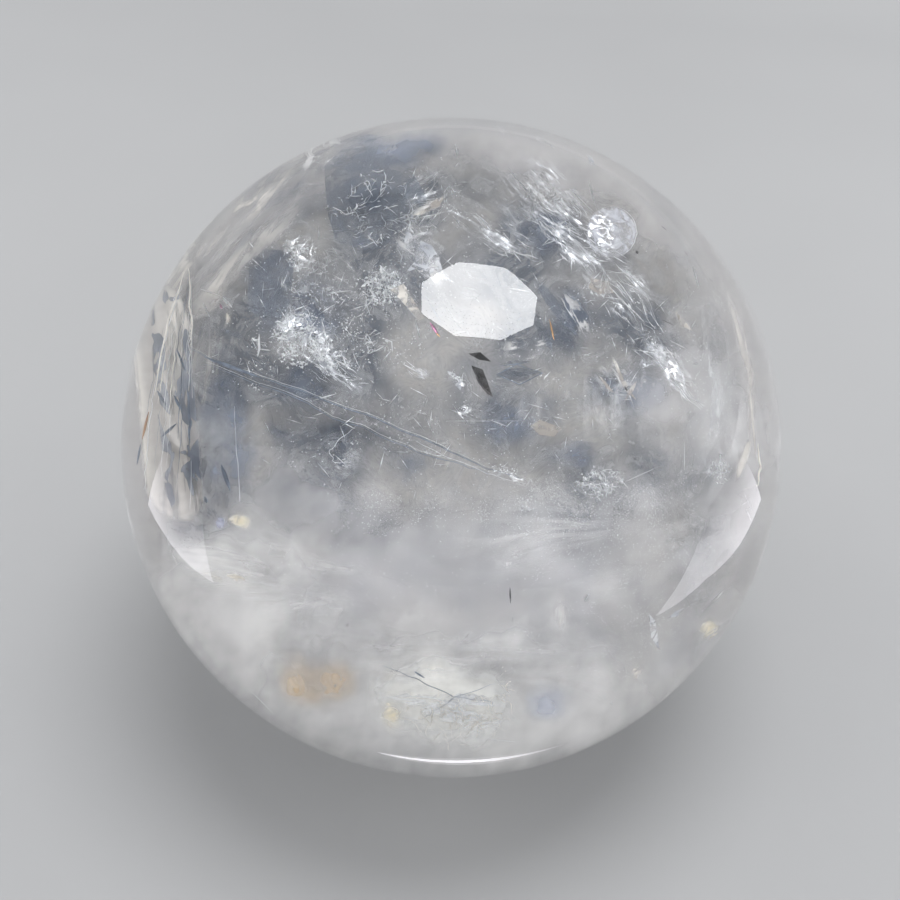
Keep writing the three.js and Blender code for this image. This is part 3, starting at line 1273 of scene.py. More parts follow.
@dataclass(frozen=True)
class LimbRibbons:
    """The cream ribbons that stream down inside the left side, and the pale line inside the right."""

    outer: Route = ((-40.2, 27.2), (-43.9, 18.0), (-46.2, 6.5), (-47.3, -6.0))
    inner: Route = ((-39.3, 27.0), (-39.2, 16.0), (-39.2, 5.0), (-40.2, -9.5))
    count: int = 18
    seed: int = 17
    cream: tuple[Strand, ...] = (
        Strand(((-40.3, 26.6), (-43.0, 18.5), (-44.9, 8.0)), 0.10, 0.24, 0.3, 0.3, 0.5, 24),
        Strand(((-39.9, 27.2), (-39.5, 21.5), (-39.4, 15.5)), 0.10, 0.16, 0.4, 0.3, 0.5),
        Strand(((46.5, 0.5), (46.9, -3.0), (46.2, -6.0)), 0.1, 0.3, 0.3, 0.4))
    silver: tuple[Strand, ...] = (
        Strand(((-39.3, 25.6), (-39.2, 7.5)), 0.1, 0.05, 1.0, 0.15, 0.3, 20),
        Strand(((-39.4, -2.0), (-39.5, -9.5)), 0.1, 0.035, 1.0, 0.1, 0.3),
        Strand(((44.4, -7.0), (45.4, -9.2), (44.7, -9.4), (45.5, -11.2)), 0.1, 0.05),
        Strand(((43.9, -8.8), (45.2, -8.0)), 0.1, 0.04),
        Strand(((-32.8, 6.2), (-32.4, -2.0), (-31.8, -9.6)), 0.2, 0.03, 1.0, 0.2, 0.3, 20))
    slate: tuple[Strand, ...] = (
        Strand(((-39.9, 9.5), (-39.5, 4.0), (-39.6, 0.5)), 0.11, 0.24, 0.3, 0.3),
        Strand(((-44.5, 8.6), (-43.2, 6.4)), 0.12, 0.28, 0.3),
        Strand(((-42.0, 7.9), (-40.8, 5.6)), 0.12, 0.26, 0.3),
        Strand(((-43.9, 1.6), (-41.6, 3.6)), 0.12, 0.22, 0.3),
        Strand(((-41.6, 15.0), (-40.2, 11.5)), 0.12, 0.2, 0.3),
        Strand(((-47.0, 0.6), (-47.6, -2.6)), 0.07, 0.30, 0.3),
        Strand(((-34.8, -2.6), (-33.4, -6.6)), 0.22, 0.3, 0.3, 0.2),
        Strand(((-37.4, -7.4), (-37.0, -8.4)), 0.2, 0.3, 0.5))
    rust: tuple[Strand, ...] = (
        Strand(((-45.8, 5.4), (-46.8, 1.2)), 0.08, 0.34, 0.3),)
    film: Bed = Bed(-43.0, 7.0, 9.4, 38, 0.16, spin=5, square=4.0, ragged=0.10, core=0.85, hug=1.0)
    right: tuple[Bed, ...] = (
        Bed(44.0, 16.0, 1.5, 16, 0.14, spin=15, hug=1.0), Bed(45.4, 6.0, 1.5, 15, 0.13, spin=0, hug=1.0),
        Bed(44.3, -1.6, 1.5, 9, 0.13, spin=-18, hug=1.0), Bed(45.3, 8.0, 0.5, 26, 0.12, spin=5, hug=1.0))

    def between(self, share: float, start: float, end: float) -> Route:
        """Gives a route that streams down between the outer and the inner one.

        Args:
            share: Where it lies between them, from 0 at the outer to 1 at the inner.
            start: Where it starts, as a share of their length.
            end: Where it ends.

        Returns:
            Its places.
        """
        outer, inner = np.array(self.outer), np.array(self.inner)
        steps = np.linspace(0.0, 1.0, len(outer))
        mixed = (1 - share) * outer + share * inner
        return tuple((np.interp(along, steps, mixed[:, 0]), np.interp(along, steps, mixed[:, 1]))
                     for along in np.linspace(start, end, 5))

    def stream(self) -> dict[str, list[Strand]]:
        """Draws the many ribbons that stream down the side, sorted by finish."""
        draw = random.Random(self.seed)
        kinds = {"cream": 0.2, "silver": 0.4, "slate": 0.4}
        drawn: dict[str, list[Strand]] = {kind: [] for kind in kinds}
        for index in range(self.count):
            start = draw.uniform(0.0, 0.62)
            end = min(1.0, start + draw.uniform(0.15, 0.5))
            kind = draw.choices(tuple(kinds), tuple(kinds.values()))[0]
            half = draw.uniform(0.03, 0.11)
            route = self.between((index + draw.random()) / self.count, start, end)
            deep = draw.uniform(0.08, 0.14)
            drawn[kind].append(Strand(route, deep, half, 0.25, draw.uniform(0.1, 0.4), 0.6, 20))
        return drawn

    def build(self) -> None:
        """Builds the ribbons and the threads between them."""
        drawn = self.stream()
        Strands("cream_ribbons", CREAM_BLADE, self.cream + tuple(drawn["cream"])).build()
        Strands("limb_threads", SILVER_THREAD, self.silver + tuple(drawn["silver"])).build()
        Strands("limb_slivers", SLATE_BLADE, self.slate + tuple(drawn["slate"])).build()
        Strands("limb_rust", RUSTY_SLIVER, self.rust).build()
        Films("limb_film", LIMB_CREAM, (self.film,)).build()
        Films("limb_cells", LIMB_CELLS, alike((self.film,), x=self.film.x + 1.4, wide=6.2,
                                              deep=0.15)).build()
        Films("right_limb_film", RIGHT_CREAM, self.right).build()


@dataclass(frozen=True)
class LowerPatch:
    """The crackled patch low down, painted bright as a reflection of the overhead light mirrored inside."""

    # Near-white film, a painted reflection of the overhead light mirrored inside.
    glow: Bed = Bed(-0.6, -38.8, 24, 16.0, 0.10, core=0.35, ragged=0.25, relief=0.25, crumple=400.0,
                    lift=-35)
    crackle: Bed = Bed(-0.5, -38.8, 22, 14.0, 0.09, square=3.0, core=0.4, relief=0.3, crumple=500.0)
    gold: Bed = Bed(-9.0, -39.0, 3.4, 11.5, 0.085, core=0.2)
    blue: Bed = Bed(14.6, -38.4, 9, 8, 0.085, core=0.1)
    dark: tuple[Strand, ...] = (
        Strand(((-10.3, -33.0), (-5.3, -34.9), (0.3, -37.6), (6.0, -38.6)), 0.08, 0.07, 0.6, 0.4, 0.4, 24),
        Strand(((6.5, -35.7), (0.7, -37.6), (-4.6, -41.3)), 0.08, 0.05, 0.6, 0.4, 0.4, 20),
        Strand(((-5.6, -33.9), (-4.0, -34.9)), 0.08, 0.16, 0.5))
    bright: tuple[Strand, ...] = (
        Strand(((4.8, -44.0), (9.8, -44.6)), 0.12, 0.08),
        Strand(((-30.2, -37.0), (-27.0, -40.2)), 0.1, 0.10),
        Strand(((-22.9, -28.8), (-18.9, -30.2)), 0.2, 0.05))

    def build(self) -> None:
        """Builds the patch, with its painted reflection, and the slivers near it."""
        Films("patch_painted_reflection", PAINTED_REFLECTION, (self.glow,)).build()
        Films("patch_crackle", PATCH_CRACKLE, (self.crackle,)).build()
        Films("patch_gold", PATCH_GOLD, (self.gold,)).build()
        Films("patch_blue", PATCH_BLUE, (self.blue,)).build()
        Strands("patch_dark_lines", SLATE_BLADE, self.dark).build()
        # Pale lips, whose brightness is partly the painted reflection of the patch.
        Lips("patch_lips", CREAM_BLADE, ((self.crackle, 420),), (0.5, 3.0), (0.015, 0.07), bend=24.0,
             heading=-14.0, heading_spread=20.0, seed=31).build()
        Strands("lower_slivers", SILVER_THREAD, self.bright).build()


@dataclass(frozen=True)
class Stains:
    """Small coloured areas: rust low on the left, gold flashes, and the colours of thin air gaps."""

    rust: tuple[Bed, ...] = (
        Bed(-23.2, -35.4, 7.5, 10.0, 0.11, spin=10), Bed(-17.2, -35.2, 7.5, 7.5, 0.11, spin=20),
        Bed(-20.2, -35.6, 14.0, 10.0, 0.12))
    ochre: tuple[Bed, ...] = (Bed(-21.0, -37.8, 5.0, 3.4, 0.11, spin=-20), Bed(-23.4, -36.6, 2.6, 3.0, 0.11))
    gold: tuple[Bed, ...] = (
        Bed(-32.4, -11.0, 4.8, 3.4, 0.16), Bed(39.0, -27.4, 3.6, 3.4, 0.14), Bed(28.0, -33.4, 2.2, 5.0, 0.2),
        Bed(-33.6, -19.6, 9.0, 2.2, 0.14), Bed(-34.0, 19.8, 2.0, 3.0, 0.2))
    violet: tuple[Bed, ...] = (
        Bed(-35.0, -11.2, 2.2, 3.0, 0.16), Bed(-14.0, 30.8, 2.0, 1.4, 0.3), Bed(-9.0, 44.6, 4.4, 2.2, 0.25))
    rose: tuple[Strand, ...] = (
        Strand(((-3.2, 18.9), (-1.9, 17.0)), 0.2, 0.20, 0.4),
        Strand(((-35.0, 21.8), (-34.7, 21.0)), 0.2, 0.14, 0.5))
    amber: tuple[Strand, ...] = (
        Strand(((14.9, 19.4), (15.6, 16.2)), 0.25, 0.12, 0.4),
        Strand(((-2.4, 17.6), (-1.7, 16.7)), 0.2, 0.12, 0.5))

    def build(self) -> None:
        """Builds the stains and flashes."""
        soft = {"core": 0.0, "ragged": 0.25, "hug": 1.0}
        torn = {"core": 0.0, "ragged": 0.8}
        Films("rust_stains", RUST, alike(self.rust, **soft)).build()
        Films("ochre_stains", OCHRE, alike(self.ochre, **soft)).build()
        Films("gold_flashes", GOLD_FLASH, alike(self.gold, **torn)).build()
        Films("violet_flashes", VIOLET_FLASH, alike(self.violet, **torn)).build()
        Strands("rose_flecks", ROSE_FLECK, self.rose).build()
        Strands("amber_flecks", AMBER_FLECK, self.amber).build()


@dataclass(frozen=True)
class ShellFracture:
    """The small round shell-like fracture at the upper right."""

    x: float = 24.2
    y: float = 32.6
    across: float = 7.8
    deep: float = 0.20

    def build(self) -> None:
        """Builds its rippled film, its bright rim and the fan of threads on its left."""
        disc = Bed(self.x, self.y, self.across, self.across, self.deep, core=0.92, ragged=0.10, relief=0.15,
                   crumple=500.0, cell=0.2)
        Films("shell_fracture", SHELL_FILM, (disc,)).build()
        left = replace(disc, x=self.x - 1.6, wide=self.across * 0.55, high=self.across * 0.8)
        Films("shell_fan", SHELL_CRACKLE, (left,)).build()
        half = self.across / 2
        angles = [math.radians(angle) for angle in range(-60, 130, 19)]
        rim = tuple((self.x + half * math.cos(angle), self.y + half * math.sin(angle)) for angle in angles)
        edge = Strand(rim, self.deep - 0.01, 0.05, 0.6, 0.1, 0.5, 30)
        Strands("shell_rim", SILVER_THREAD, (edge,)).build()


@dataclass(frozen=True)
class Blades:
    """Single blades, feathers, needles and specks, each listed with its own place."""

    cream: tuple[Plate, ...] = (
        Plate(((-9.2, 23.9), (-7.2, 24.8), (-4.1, 19.6), (-5.1, 19.2)), 0.20),
        Plate(((24.2, 14.0), (24.9, 13.2), (26.3, 9.9), (25.6, 10.3)), 0.25),
        Plate(((22.3, 10.9), (23.2, 10.2), (24.6, 8.3), (23.6, 8.9)), 0.25),
        Plate(((25.4, 10.5), (26.4, 10.0), (28.0, 7.2), (26.6, 8.3)), 0.24),
        Plate(((28.2, 10.2), (27.6, 8.6), (26.2, 6.9), (26.9, 8.8)), 0.25),
        Plate(((12.0, 3.2), (13.4, 4.2), (16.8, 2.9), (15.6, 1.6), (13.4, 1.9)), 0.27),
        Plate(((34.0, 20.6), (35.0, 19.6), (36.6, 17.6), (34.6, 18.6)), 0.22),
        Plate(((-5.9, 35.1), (-3.6, 37.0), (-0.9, 38.2), (-1.9, 36.4), (-4.2, 35.3)), 0.25),
        Plate(((21.2, 25.6), (24.0, 25.0), (24.6, 23.4), (22.4, 23.2), (20.8, 24.2)), 0.27))
    pale: tuple[Plate, ...] = (
        Plate(((-6.7, 33.4), (-5.2, 31.5), (-3.0, 30.6), (-1.8, 28.8), (-1.2, 26.4), (0.5, 24.9),
               (-2.6, 26.0),
               (-4.0, 25.5), (-5.1, 27.2), (-7.0, 26.4), (-5.0, 28.8), (-7.2, 30.5), (-5.0, 30.4)), 0.24),
        Plate(((-0.6, 11.6), (0.6, 11.2), (1.6, 9.6), (1.4, 8.6), (0.2, 9.8)), 0.25),
        Plate(((20.6, 44.4), (21.4, 43.9), (21.8, 42.6), (20.9, 43.0)), 0.14),
        Plate(((16.9, -32.6), (17.9, -34.4), (19.3, -38.4), (18.1, -36.8)), 0.2),
        Plate(((21.6, -33.8), (22.6, -35.0), (24.4, -39.0), (22.8, -37.4)), 0.2),
        Plate(((29.9, -25.2), (30.9, -26.2), (31.5, -30.6), (30.3, -28.8)), 0.16),
        Plate(((32.8, -25.8), (34.0, -24.8), (35.4, -24.3), (34.2, -25.6)), 0.16))
    dusky: tuple[Plate, ...] = (
        Plate(((3.1, 12.4), (4.8, 11.8), (5.5, 10.0), (6.3, 7.7), (5.6, 8.0), (4.2, 9.7)), 0.24),
        Plate(((2.6, 14.2), (4.4, 14.4), (6.0, 13.0), (4.2, 13.3)), 0.24))
    lenses: tuple[Plate, ...] = (
        Plate(((-19.2, 42.6), (-18.6, 35.0), (-17.4, 31.2), (-12.0, 29.6), (-6.2, 33.6), (-3.6, 37.8),
               (-6.6, 42.8),
               (-12.4, 45.6), (-16.6, 45.0)), 0.24),
        Plate(((-30.4, 30.2), (-23.6, 29.6), (-24.4, 21.8), (-26.8, 18.0), (-30.8, 21.0)), 0.28),
        Plate(((6.9, 10.9), (8.1, 11.9), (10.9, 12.0), (13.9, 11.3), (12.0, 10.6), (10.6, 10.0),
               (8.6, 10.3)), 0.25),
        Plate(((8.0, 11.0), (9.6, 11.6), (12.4, 11.2), (10.6, 10.7)), 0.24),
        Plate(((7.4, 12.6), (9.6, 13.3), (11.9, 13.0), (10.0, 12.6)), 0.25),
        Plate(((12.6, 25.6), (14.6, 24.2), (17.4, 20.6), (19.4, 16.6), (16.4, 19.2), (14.0, 22.4)), 0.30),
        Plate(((11.8, 21.0), (13.4, 19.8), (15.0, 16.6), (15.4, 14.4), (13.4, 16.6)), 0.30),
        Plate(((-35.0, 17.9), (-32.4, 17.6), (-30.2, 15.8), (-33.2, 16.9)), 0.2),
        Plate(((-15.4, 46.4), (-12.6, 47.4), (-10.2, 47.1), (-12.4, 46.2)), 0.12))
    silver: tuple[Strand, ...] = (
        Strand(((8.6, 42.3), (12.8, 37.2)), 0.2, 0.09),
        Strand(((18, 39.1), (21.6, 35.7)), 0.2, 0.09),
        Strand(((20.9, 40.4), (21.8, 36.6)), 0.2, 0.07),
        Strand(((20.6, 44.2), (21.6, 42.8)), 0.15, 0.12),
        Strand(((-22.7, 15.8), (-17.4, 12.3)), 0.24, 0.06),
        Strand(((-22.0, 15.9), (-18.4, 13.4)), 0.24, 0.04),
        Strand(((-7.4, 12.7), (-4.7, 11.2)), 0.24, 0.07),
        Strand(((-6.9, 13.2), (-5.5, 12.1)), 0.24, 0.05),
        Strand(((-29.1, 17.2), (-29.2, 13.7)), 0.2, 0.16, 0.4, 0.2),
        Strand(((-29.0, 14.9), (-27.4, 14.7)), 0.2, 0.08),
        Strand(((-34.6, 22.8), (-33.2, 21.2)), 0.18, 0.20, 0.4),
        Strand(((-37.6, 22.0), (-36.6, 19.8)), 0.18, 0.08),
        Strand(((-38.0, 24.0), (-35.0, 23.0)), 0.18, 0.05),
        Strand(((-14.0, 3.5), (-18.2, 0.0), (-18.1, -2.2), (-15.2, -2.1)), 0.26, 0.022, 1.0, 0.6, 0.3, 24),
        Strand(((-0.6, 4.0), (10.2, 4.0)), 0.3, 0.022, 1.0, 0.05, 0.2),
        Strand(((-10.4, 16.6), (-9.0, 16.0), (-8.9, 14.4)), 0.26, 0.06),
        Strand(((26.4, -5.2), (30.6, -3.3)), 0.22, 0.05, 1.0, 0.2),
        Strand(((25.2, -4.2), (26.8, -6.2)), 0.22, 0.05),
        Strand(((35.3, 0.8), (35.3, -3.4)), 0.2, 0.03),
        Strand(((36.6, 27.6), (37.5, 24.2)), 0.18, 0.09, 0.4),
        Strand(((39.6, -23.4), (41.2, -21.8)), 0.12, 0.12, 0.4),
        Strand(((20.2, -23.2), (20.8, -22.2)), 0.2, 0.14, 0.4),
        Strand(((31.0, 13.6), (33.2, 10.4), (36.4, 7.0)), 0.22, 0.12, 0.3, 0.3))
    slate: tuple[Strand, ...] = (
        Strand(((6.9, 11.0), (9.9, 12.6), (13.9, 11.3)), 0.23, 0.05, 0.5, 0.1, 0.3),
        Strand(((6.9, 11.0), (10.4, 9.6), (13.9, 11.3)), 0.23, 0.06, 0.5, 0.1, 0.3),
        Strand(((7.2, 12.3), (11.6, 12.9)), 0.24, 0.05, 0.5),
        Strand(((-9.0, 23.8), (-5.0, 19.2)), 0.19, 0.04, 0.5),
        Strand(((-3.9, 23.0), (-1.6, 19.0)), 0.2, 0.04))
    dark: tuple[Strand, ...] = (
        Strand(((3.2, 12.2), (4.4, 9.6), (6.2, 7.8)), 0.23, 0.10, 0.5, 0.2, keen=0.4),
        Strand(((8.85, -19.0), (9.0, -23.0), (9.3, -26.6)), 0.2, 0.06, 0.8, 0.1),
        Strand(((8.9, -21.2), (9.0, -23.6)), 0.19, 0.10, 0.8),
        Strand(((3.4, 22.2), (4.8, 23.6)), 0.08, 0.03),
        Strand(((2.8, 21.6), (3.6, 22.9)), 0.08, 0.02),
        Strand(((28.0, 29.8), (28.3, 29.3)), 0.12, 0.22, 0.9),
        Strand(((-27.5, -17.6), (-27.3, -18.2)), 0.2, 0.14, 0.9),
        Strand(((31.8, 33.6), (32.6, 32.9)), 0.15, 0.07),
        Strand(((35.3, 29.7), (35.9, 29.0)), 0.15, 0.07),
        Strand(((39.0, 25.7), (39.8, 24.9)), 0.15, 0.07),
        Strand(((31.8, 19.4), (33.8, 18.5)), 0.2, 0.06),
        Strand(((26.3, 9.2), (26.7, 8.6)), 0.22, 0.14))
    flakes: tuple[Bed, ...] = (
        Bed(-5.3, 31.2, 8, 5, 0.24, spin=-35), Bed(-3.4, 27.0, 7, 4, 0.24, spin=-60),
        Bed(11.3, 15.2, 7.5, 4.4, 0.22),
        Bed(-3.2, 36.2, 7, 3.4, 0.24, spin=22), Bed(-9.6, 33.0, 6, 2.4, 0.24, spin=28),
        Bed(24.4, 10.6, 7, 5.5, 0.26, spin=-40), Bed(14.6, 2.8, 6, 2.2, 0.26, spin=-12),
        Bed(18.5, 20.5, 10, 4, 0.3, spin=-55), Bed(-19.6, 43.9, 9, 6, 0.2, spin=25))
    feather: Bed = Bed(32.9, 12.2, 2.6, 12.5, 0.20, spin=33, core=0.3, relief=0.35, crumple=400.0)
    mark: Bed = Bed(29.6, 12.8, 2.4, 1.6, 0.22)

    def build(self) -> None:
        """Builds them, one piece for each finish."""
        Plates("cream_plates", CREAM_FLAKY, self.cream).build()
        Plates("pale_plates", FLAKY, self.pale).build()
        Plates("dusky_plates", DUSKY_FLAKY, self.dusky).build()
        Plates("slate_plates", SLATE_FLAKY, self.lenses).build()
        Strands("silver_blades", SILVER_THREAD, self.silver).build()
        Strands("slate_blades", SLATE_BLADE, self.slate).build()
        Strands("dark_needles", DARK_MINERAL, self.dark).build()
        Films("pale_flakes", PALE_FLAKE, self.flakes).build()
        Films("feather_fracture", FEATHER_CRACKLE, (self.feather, self.mark)).build()


@dataclass(frozen=True)
class QuartzBall:
    """The polished round itself, ground flat below, with a tiny eased edge round the flat."""

    subdivisions: int = 7
    edge: float = 0.25 * MM

    def build(self) -> bpy.types.Object:
        """Makes the ball.

        Returns:
            The piece, which stands for the CAD node.
        """
        shape = bmesh.new()
        bmesh.ops.create_icosphere(shape, subdivisions=self.subdivisions, radius=STONE.radius,
                                   matrix=Matrix.Translation(STONE.centre))
        cut = bmesh.ops.bisect_plane(shape, geom=shape.verts[:] + shape.edges[:] + shape.faces[:],
                                     plane_co=(0, 0, 0), plane_no=(0, 0, 1), clear_inner=True)
        rim = [part for part in cut["geom_cut"] if isinstance(part, bmesh.types.BMEdge)]
        bmesh.ops.edgeloop_fill(shape, edges=rim)
        bmesh.ops.bevel(shape, geom=rim, offset=self.edge, affect="EDGES", segments=2, profile=0.5,
                        material=-1)
        bmesh.ops.recalc_face_normals(shape, faces=shape.faces)
        mesh = mesh_of(shape, "polished_ball", True)
        for polygon in mesh.polygons:
            polygon.use_smooth = polygon.normal.z > -0.9999
        piece = link_piece("polished_ball", mesh, ClearQuartz().material())
        piece.visible_shadow = True
        WITHIN.objects.unlink(piece)
        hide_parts(NODE)
        return piece


@dataclass(frozen=True)
class Studio:
    """A plain pale floor, an eight-sided soft light overhead, low side lights, and a pale room."""

    floor_tone: float = 0.32
    far_tone: float = 0.88
    floor_radius: float = 3.0
    floor_gap: float = 0.05 * MM
    overhead_height: float = 0.95
    overhead_half: tuple[float, float] = (0.272, 0.208)
    overhead_shift: tuple[float, float] = (0.104, 0.018)
    corner_reach: float = 1.06
    overhead_power: float = 11.5
    side_power: float = 7.0
    side_reach: float = 0.5
    within_power: float = 4.8
    low_power: float = 2.9
    crescent_powers: tuple[float, float] = (0.9, 3.6)
    card_power: float = 2.6
    card_rise: float = 0.3 * MM
    left_card: Route = ((-45.9, -8.7), (-42.5, 1.0), (-37.0, -2.0), (-36.0, -20.5), (-40.0, -17.5),
                        (-43.5, -13.0))
    card_fade: tuple[float, float] = (0.13, 0.34)
    right_card: Route = ((46.9, -7.8), (43.6, -0.5), (39.0, -9.0), (30.9, -25.6), (38.5, -20.0),
                         (43.5, -15.0))
    crescent: Route = ((-11.0, -46.2), (3.4, -47.5), (17.8, -44.7))
    crescent_halves: tuple[float, float] = (0.50, 0.17)
    room: Colour = (0.88, 0.90, 0.94)
    room_powers: tuple[float, float] = (0.73, 0.77)
    room_rise: tuple[float, float] = (-0.1, 0.45)
    paling: tuple[float, float] = (0.25, 1.2)
    paling_axes: Colour = (0.4, 1.0, 0.0)

    def lamp(self, name: str, power: object, tint: Colour = (0.97, 0.98, 1.0)) -> ShaderTree:
        """Makes a glowing material.

        Args:
            name: Its name.
            power: How bright it is.
            tint: Its colour.

        Returns:
            Its nodes.
        """
        shader = ShaderTree(name)
        shader.tree.nodes.remove(shader.surface)
        glow = shader.node("Emission", Color=(*tint, 1.0), Strength=power)
        shader.give(shader.output.inputs["Surface"], glow.outputs["Emission"])
        return shader

    def staged(self, name: str, shape: bmesh.types.BMesh, material: bpy.types.Material) -> bpy.types.Object:
        """Puts a stage mesh in the scene."""
        mesh = mesh_of(shape, name)
        mesh.materials.append(material)
        made = bpy.data.objects.new(name, mesh)
        bpy.context.scene.collection.objects.link(made)
        return made

    def floor(self) -> None:
        """Lays the floor, a hair below the stone's flat. It pales far off, so no skyline is mirrored."""
        shape = bmesh.new()
        bmesh.ops.create_circle(shape, cap_ends=True, segments=128, radius=self.floor_radius,
                                matrix=Matrix.Translation((0, 0, -self.floor_gap)))
        shader = ShaderTree("pale_floor")
        spread = shader.tree.nodes.new("ShaderNodeVectorMath")
        spread.operation = "MULTIPLY"
        spread.inputs[1].default_value = self.paling_axes
        shader.give(spread.inputs[0], shader.place())
        distance = shader.tree.nodes.new("ShaderNodeVectorMath")
        distance.operation = "LENGTH"
        shader.give(distance.inputs[0], spread.outputs["Vector"])
        tone = shader.span(distance.outputs["Value"], *self.paling, self.floor_tone, self.far_tone)
        speckle = shader.span(shader.noise(shader.place(), 14.0, 2.0), 0.3, 0.7, 0.985, 1.015)
        shader.give(shader.surface.inputs["Base Color"], shader.times(tone, speckle))
        shader.surface.inputs["Roughness"].default_value = 0.9
        shader.surface.inputs["Specular IOR Level"].default_value = 0.0
        self.staged("floor", shape, shader.material)

    def overhead(self) -> None:
        """Hangs the eight-sided light."""
        shape = bmesh.new()
        across, along = self.overhead_half
        bmesh.ops.create_circle(shape, cap_ends=True, segments=8, radius=self.corner_reach)
        bmesh.ops.rotate(shape, cent=(0, 0, 0), matrix=Matrix.Rotation(math.radians(22.5), 3, "Z"),
                         verts=shape.verts)
        bmesh.ops.scale(shape, vec=(across, along, 1.0), verts=shape.verts)
        bmesh.ops.translate(shape, vec=(*self.overhead_shift, self.overhead_height), verts=shape.verts)
        bmesh.ops.reverse_faces(shape, faces=shape.faces)
        self.staged("overhead_softbox", shape, self.lamp("softbox_light", self.overhead_power).material)

    def area(self, name: str, place: Vector, size: tuple[float, float], power: float) -> bpy.types.Object:
        """Adds a soft light that looks at the stone and that its face doesn't mirror.

        Args:
            name: Its name.
            place: Where it stands.
            size: Its width and height.
            power: How bright its face is.

        Returns:
            The light.
        """
        data = bpy.data.lights.new(name, "AREA")
        data.shape = "RECTANGLE"
        data.size, data.size_y = size
        data.energy = power * math.pi * size[0] * size[1]
        light = bpy.data.objects.new(name, data)
        light.location = place
        light.rotation_euler = (STONE.centre - place).to_track_quat("-Z", "Y").to_euler()
        light.visible_glossy = False
        light.visible_camera = False
        bpy.context.scene.collection.objects.link(light)
        return light

    def reach_within(self, light: bpy.types.Object) -> None:
        """Lets a light reach what lies in the stone, straight through its clear face, and nothing else."""
        clear = bpy.data.collections.new(f"{light.name}_passes")
        clear.objects.link(bpy.data.objects["polished_ball"])
        clear.collection_objects[0].light_linking.link_state = "EXCLUDE"
        light.visible_transmission = False
        light.light_linking.receiver_collection = WITHIN
        light.light_linking.blocker_collection = clear

    def mirrored(self, x: float, y: float) -> Vector:
        """Finds the place just above the floor that the polished face mirrors at a seen place.

        Args:
            x: Seen millimetres to the right of the outline's middle.
            y: Seen millimetres above it.

        Returns:
            The place.
        """
        entry, _, _ = VIEW.trace(x, y)
        way = (entry - VIEW.place).normalized()
        back = way.reflect((entry - STONE.centre).normalized())
        return entry + back * ((self.card_rise - entry.z) / back.z)

    def patch(self, corners: Route) -> bmesh.types.BMesh:
        """Makes the flat shape whose mirror image has these corners in the face."""
        shape = bmesh.new()
        verts = [shape.verts.new(self.mirrored(*corner)) for corner in corners]
        bmesh.ops.contextual_create(shape, geom=verts)
        return shape

    def strip(self, ends: Route, half: float) -> bmesh.types.BMesh:
        """Makes the flat shape whose mirror image is a thin bow through three places in the face."""
        left, middle, right = (Vector(place) for place in ends)
        pull = 4 * middle - left - right
        shape = bmesh.new()
        bmesh.ops.create_grid(shape, x_segments=40, y_segments=1, size=0.5)
        for vert in shape.verts:
            share = vert.co.x + 0.5
            swell = half * 2 * vert.co.y * max(0.02, math.sin(math.pi * share)) ** 0.6
            seen = left * (1 - share) ** 2 + pull * share * (1 - share) + right * share ** 2
            vert.co = self.mirrored(seen.x, seen.y + swell)
        return shape

    def card(self, name: str, shape: bmesh.types.BMesh, power: float, full: float, fade: float) -> None:
        """Lays a glowing card by the stone that only its polished face mirrors.

        Args:
            name: Its name.
            shape: Its shape, in place.
            power: How bright it is.
            full: How far beside the stone's middle it starts to fade, in metres.
            fade: How far beside it it has faded out.
        """
        bmesh.ops.recalc_face_normals(shape, faces=shape.faces)
        shader = self.lamp(f"{name}_glow", power, (0.97, 0.95, 1.0))
        where = shader.node("SeparateXYZ", Vector=shader.place())
        distance = shader.tree.nodes.new("ShaderNodeMath")
        distance.operation = "ABSOLUTE"
        shader.give(distance.inputs[0], where.outputs["X"])
        shader.give(shader.tree.nodes["Emission"].inputs["Strength"],
                    shader.span(distance.outputs[0], full, fade, power, 0.0))
        shader.material.cycles.emission_sampling = "NONE"
        made = self.staged(name, shape, shader.material)
        made.visible_camera = False
        made.visible_diffuse = False
        made.visible_transmission = False
        made.visible_shadow = False

    def build(self) -> None:
        """Sets the whole studio up."""
        self.floor()
        self.overhead()
        for name, side in (("left_light", -1), ("right_light", 1)):
            self.area(name, Vector((side * self.side_reach, 0.0, 0.14)), (0.5, 0.24), self.side_power)
        within = self.area("light_within", Vector((0.032, 0.008, 0.33)), (0.17, 0.14), self.within_power)
        self.reach_within(within)
        low = self.area("low_within", Vector((0.02, -0.30, 0.05)), (0.20, 0.10), self.low_power)
        self.reach_within(low)
        for name, corners in (("left_card", self.left_card), ("right_card", self.right_card)):
            self.card(name, self.patch(corners), self.card_power, *self.card_fade)
        for index, (half, power) in enumerate(zip(self.crescent_halves, self.crescent_powers)):
            shape = self.strip(self.crescent, half)
            bmesh.ops.translate(shape, vec=(0, 0, 0.1 * MM * index), verts=shape.verts)
            reach = max(abs(vert.co.x) for vert in shape.verts)
            self.card(f"front_card_{index + 1}", shape, power, 0.3 * reach, 1.05 * reach)
        self.surroundings()

    def surroundings(self) -> None:
        """Makes the pale room, as bright as the far floor at its foot."""
        world = bpy.data.worlds.new("room")
        world.use_nodes = True
        world.cycles.sampling_method = "NONE"
        nodes, links = world.node_tree.nodes, world.node_tree.links
        axes = nodes.new("ShaderNodeSeparateXYZ")
        links.new(nodes.new("ShaderNodeTexCoord").outputs["Object"], axes.inputs["Vector"])
        rise = nodes.new("ShaderNodeMapRange")
        links.new(axes.outputs["Z"], rise.inputs["Value"])
        ends = (*self.room_rise, *self.room_powers)
        for name, number in zip(("From Min", "From Max", "To Min", "To Max"), ends):
            rise.inputs[name].default_value = number
        backdrop = nodes["Background"]
        backdrop.inputs["Color"].default_value = (*self.room, 1.0)
        links.new(rise.outputs["Result"], backdrop.inputs["Strength"])
        bpy.context.scene.world = world


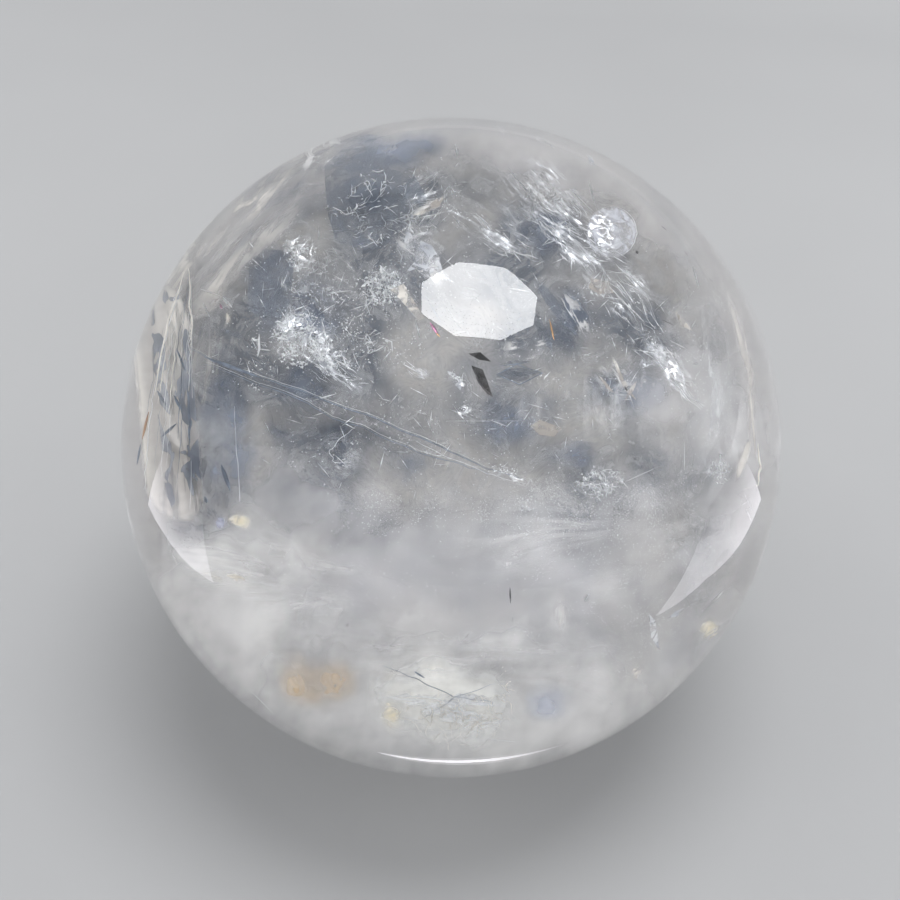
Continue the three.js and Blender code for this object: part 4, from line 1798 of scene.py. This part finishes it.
def light_paths() -> None:
    """Sets how far light is followed through the stone, and a plain view of its tones."""
    scene = bpy.context.scene
    scene.view_settings.view_transform = "Standard"
    scene.cycles.max_bounces = 6
    scene.cycles.transmission_bounces = 6
    scene.cycles.glossy_bounces = 3
    scene.cycles.diffuse_bounces = 1
    scene.cycles.transparent_max_bounces = 32


def main() -> None:
    """Builds the stone, what shows in it, the studio and the camera."""
    logging.basicConfig(level=logging.INFO, format="%(name)s %(message)s")
    noise.seed_set(SWAY_SEED)
    QuartzBall().build()
    for part in (UpperVeils(), GreyDepths(), LowerHaze(), LongFracture(), LimbRibbons(), LowerPatch(),
                 Stains(), ShellFracture(), Blades(), Studio(), VIEW):
        part.build()
    light_paths()


if __name__ == "__main__":
    main()
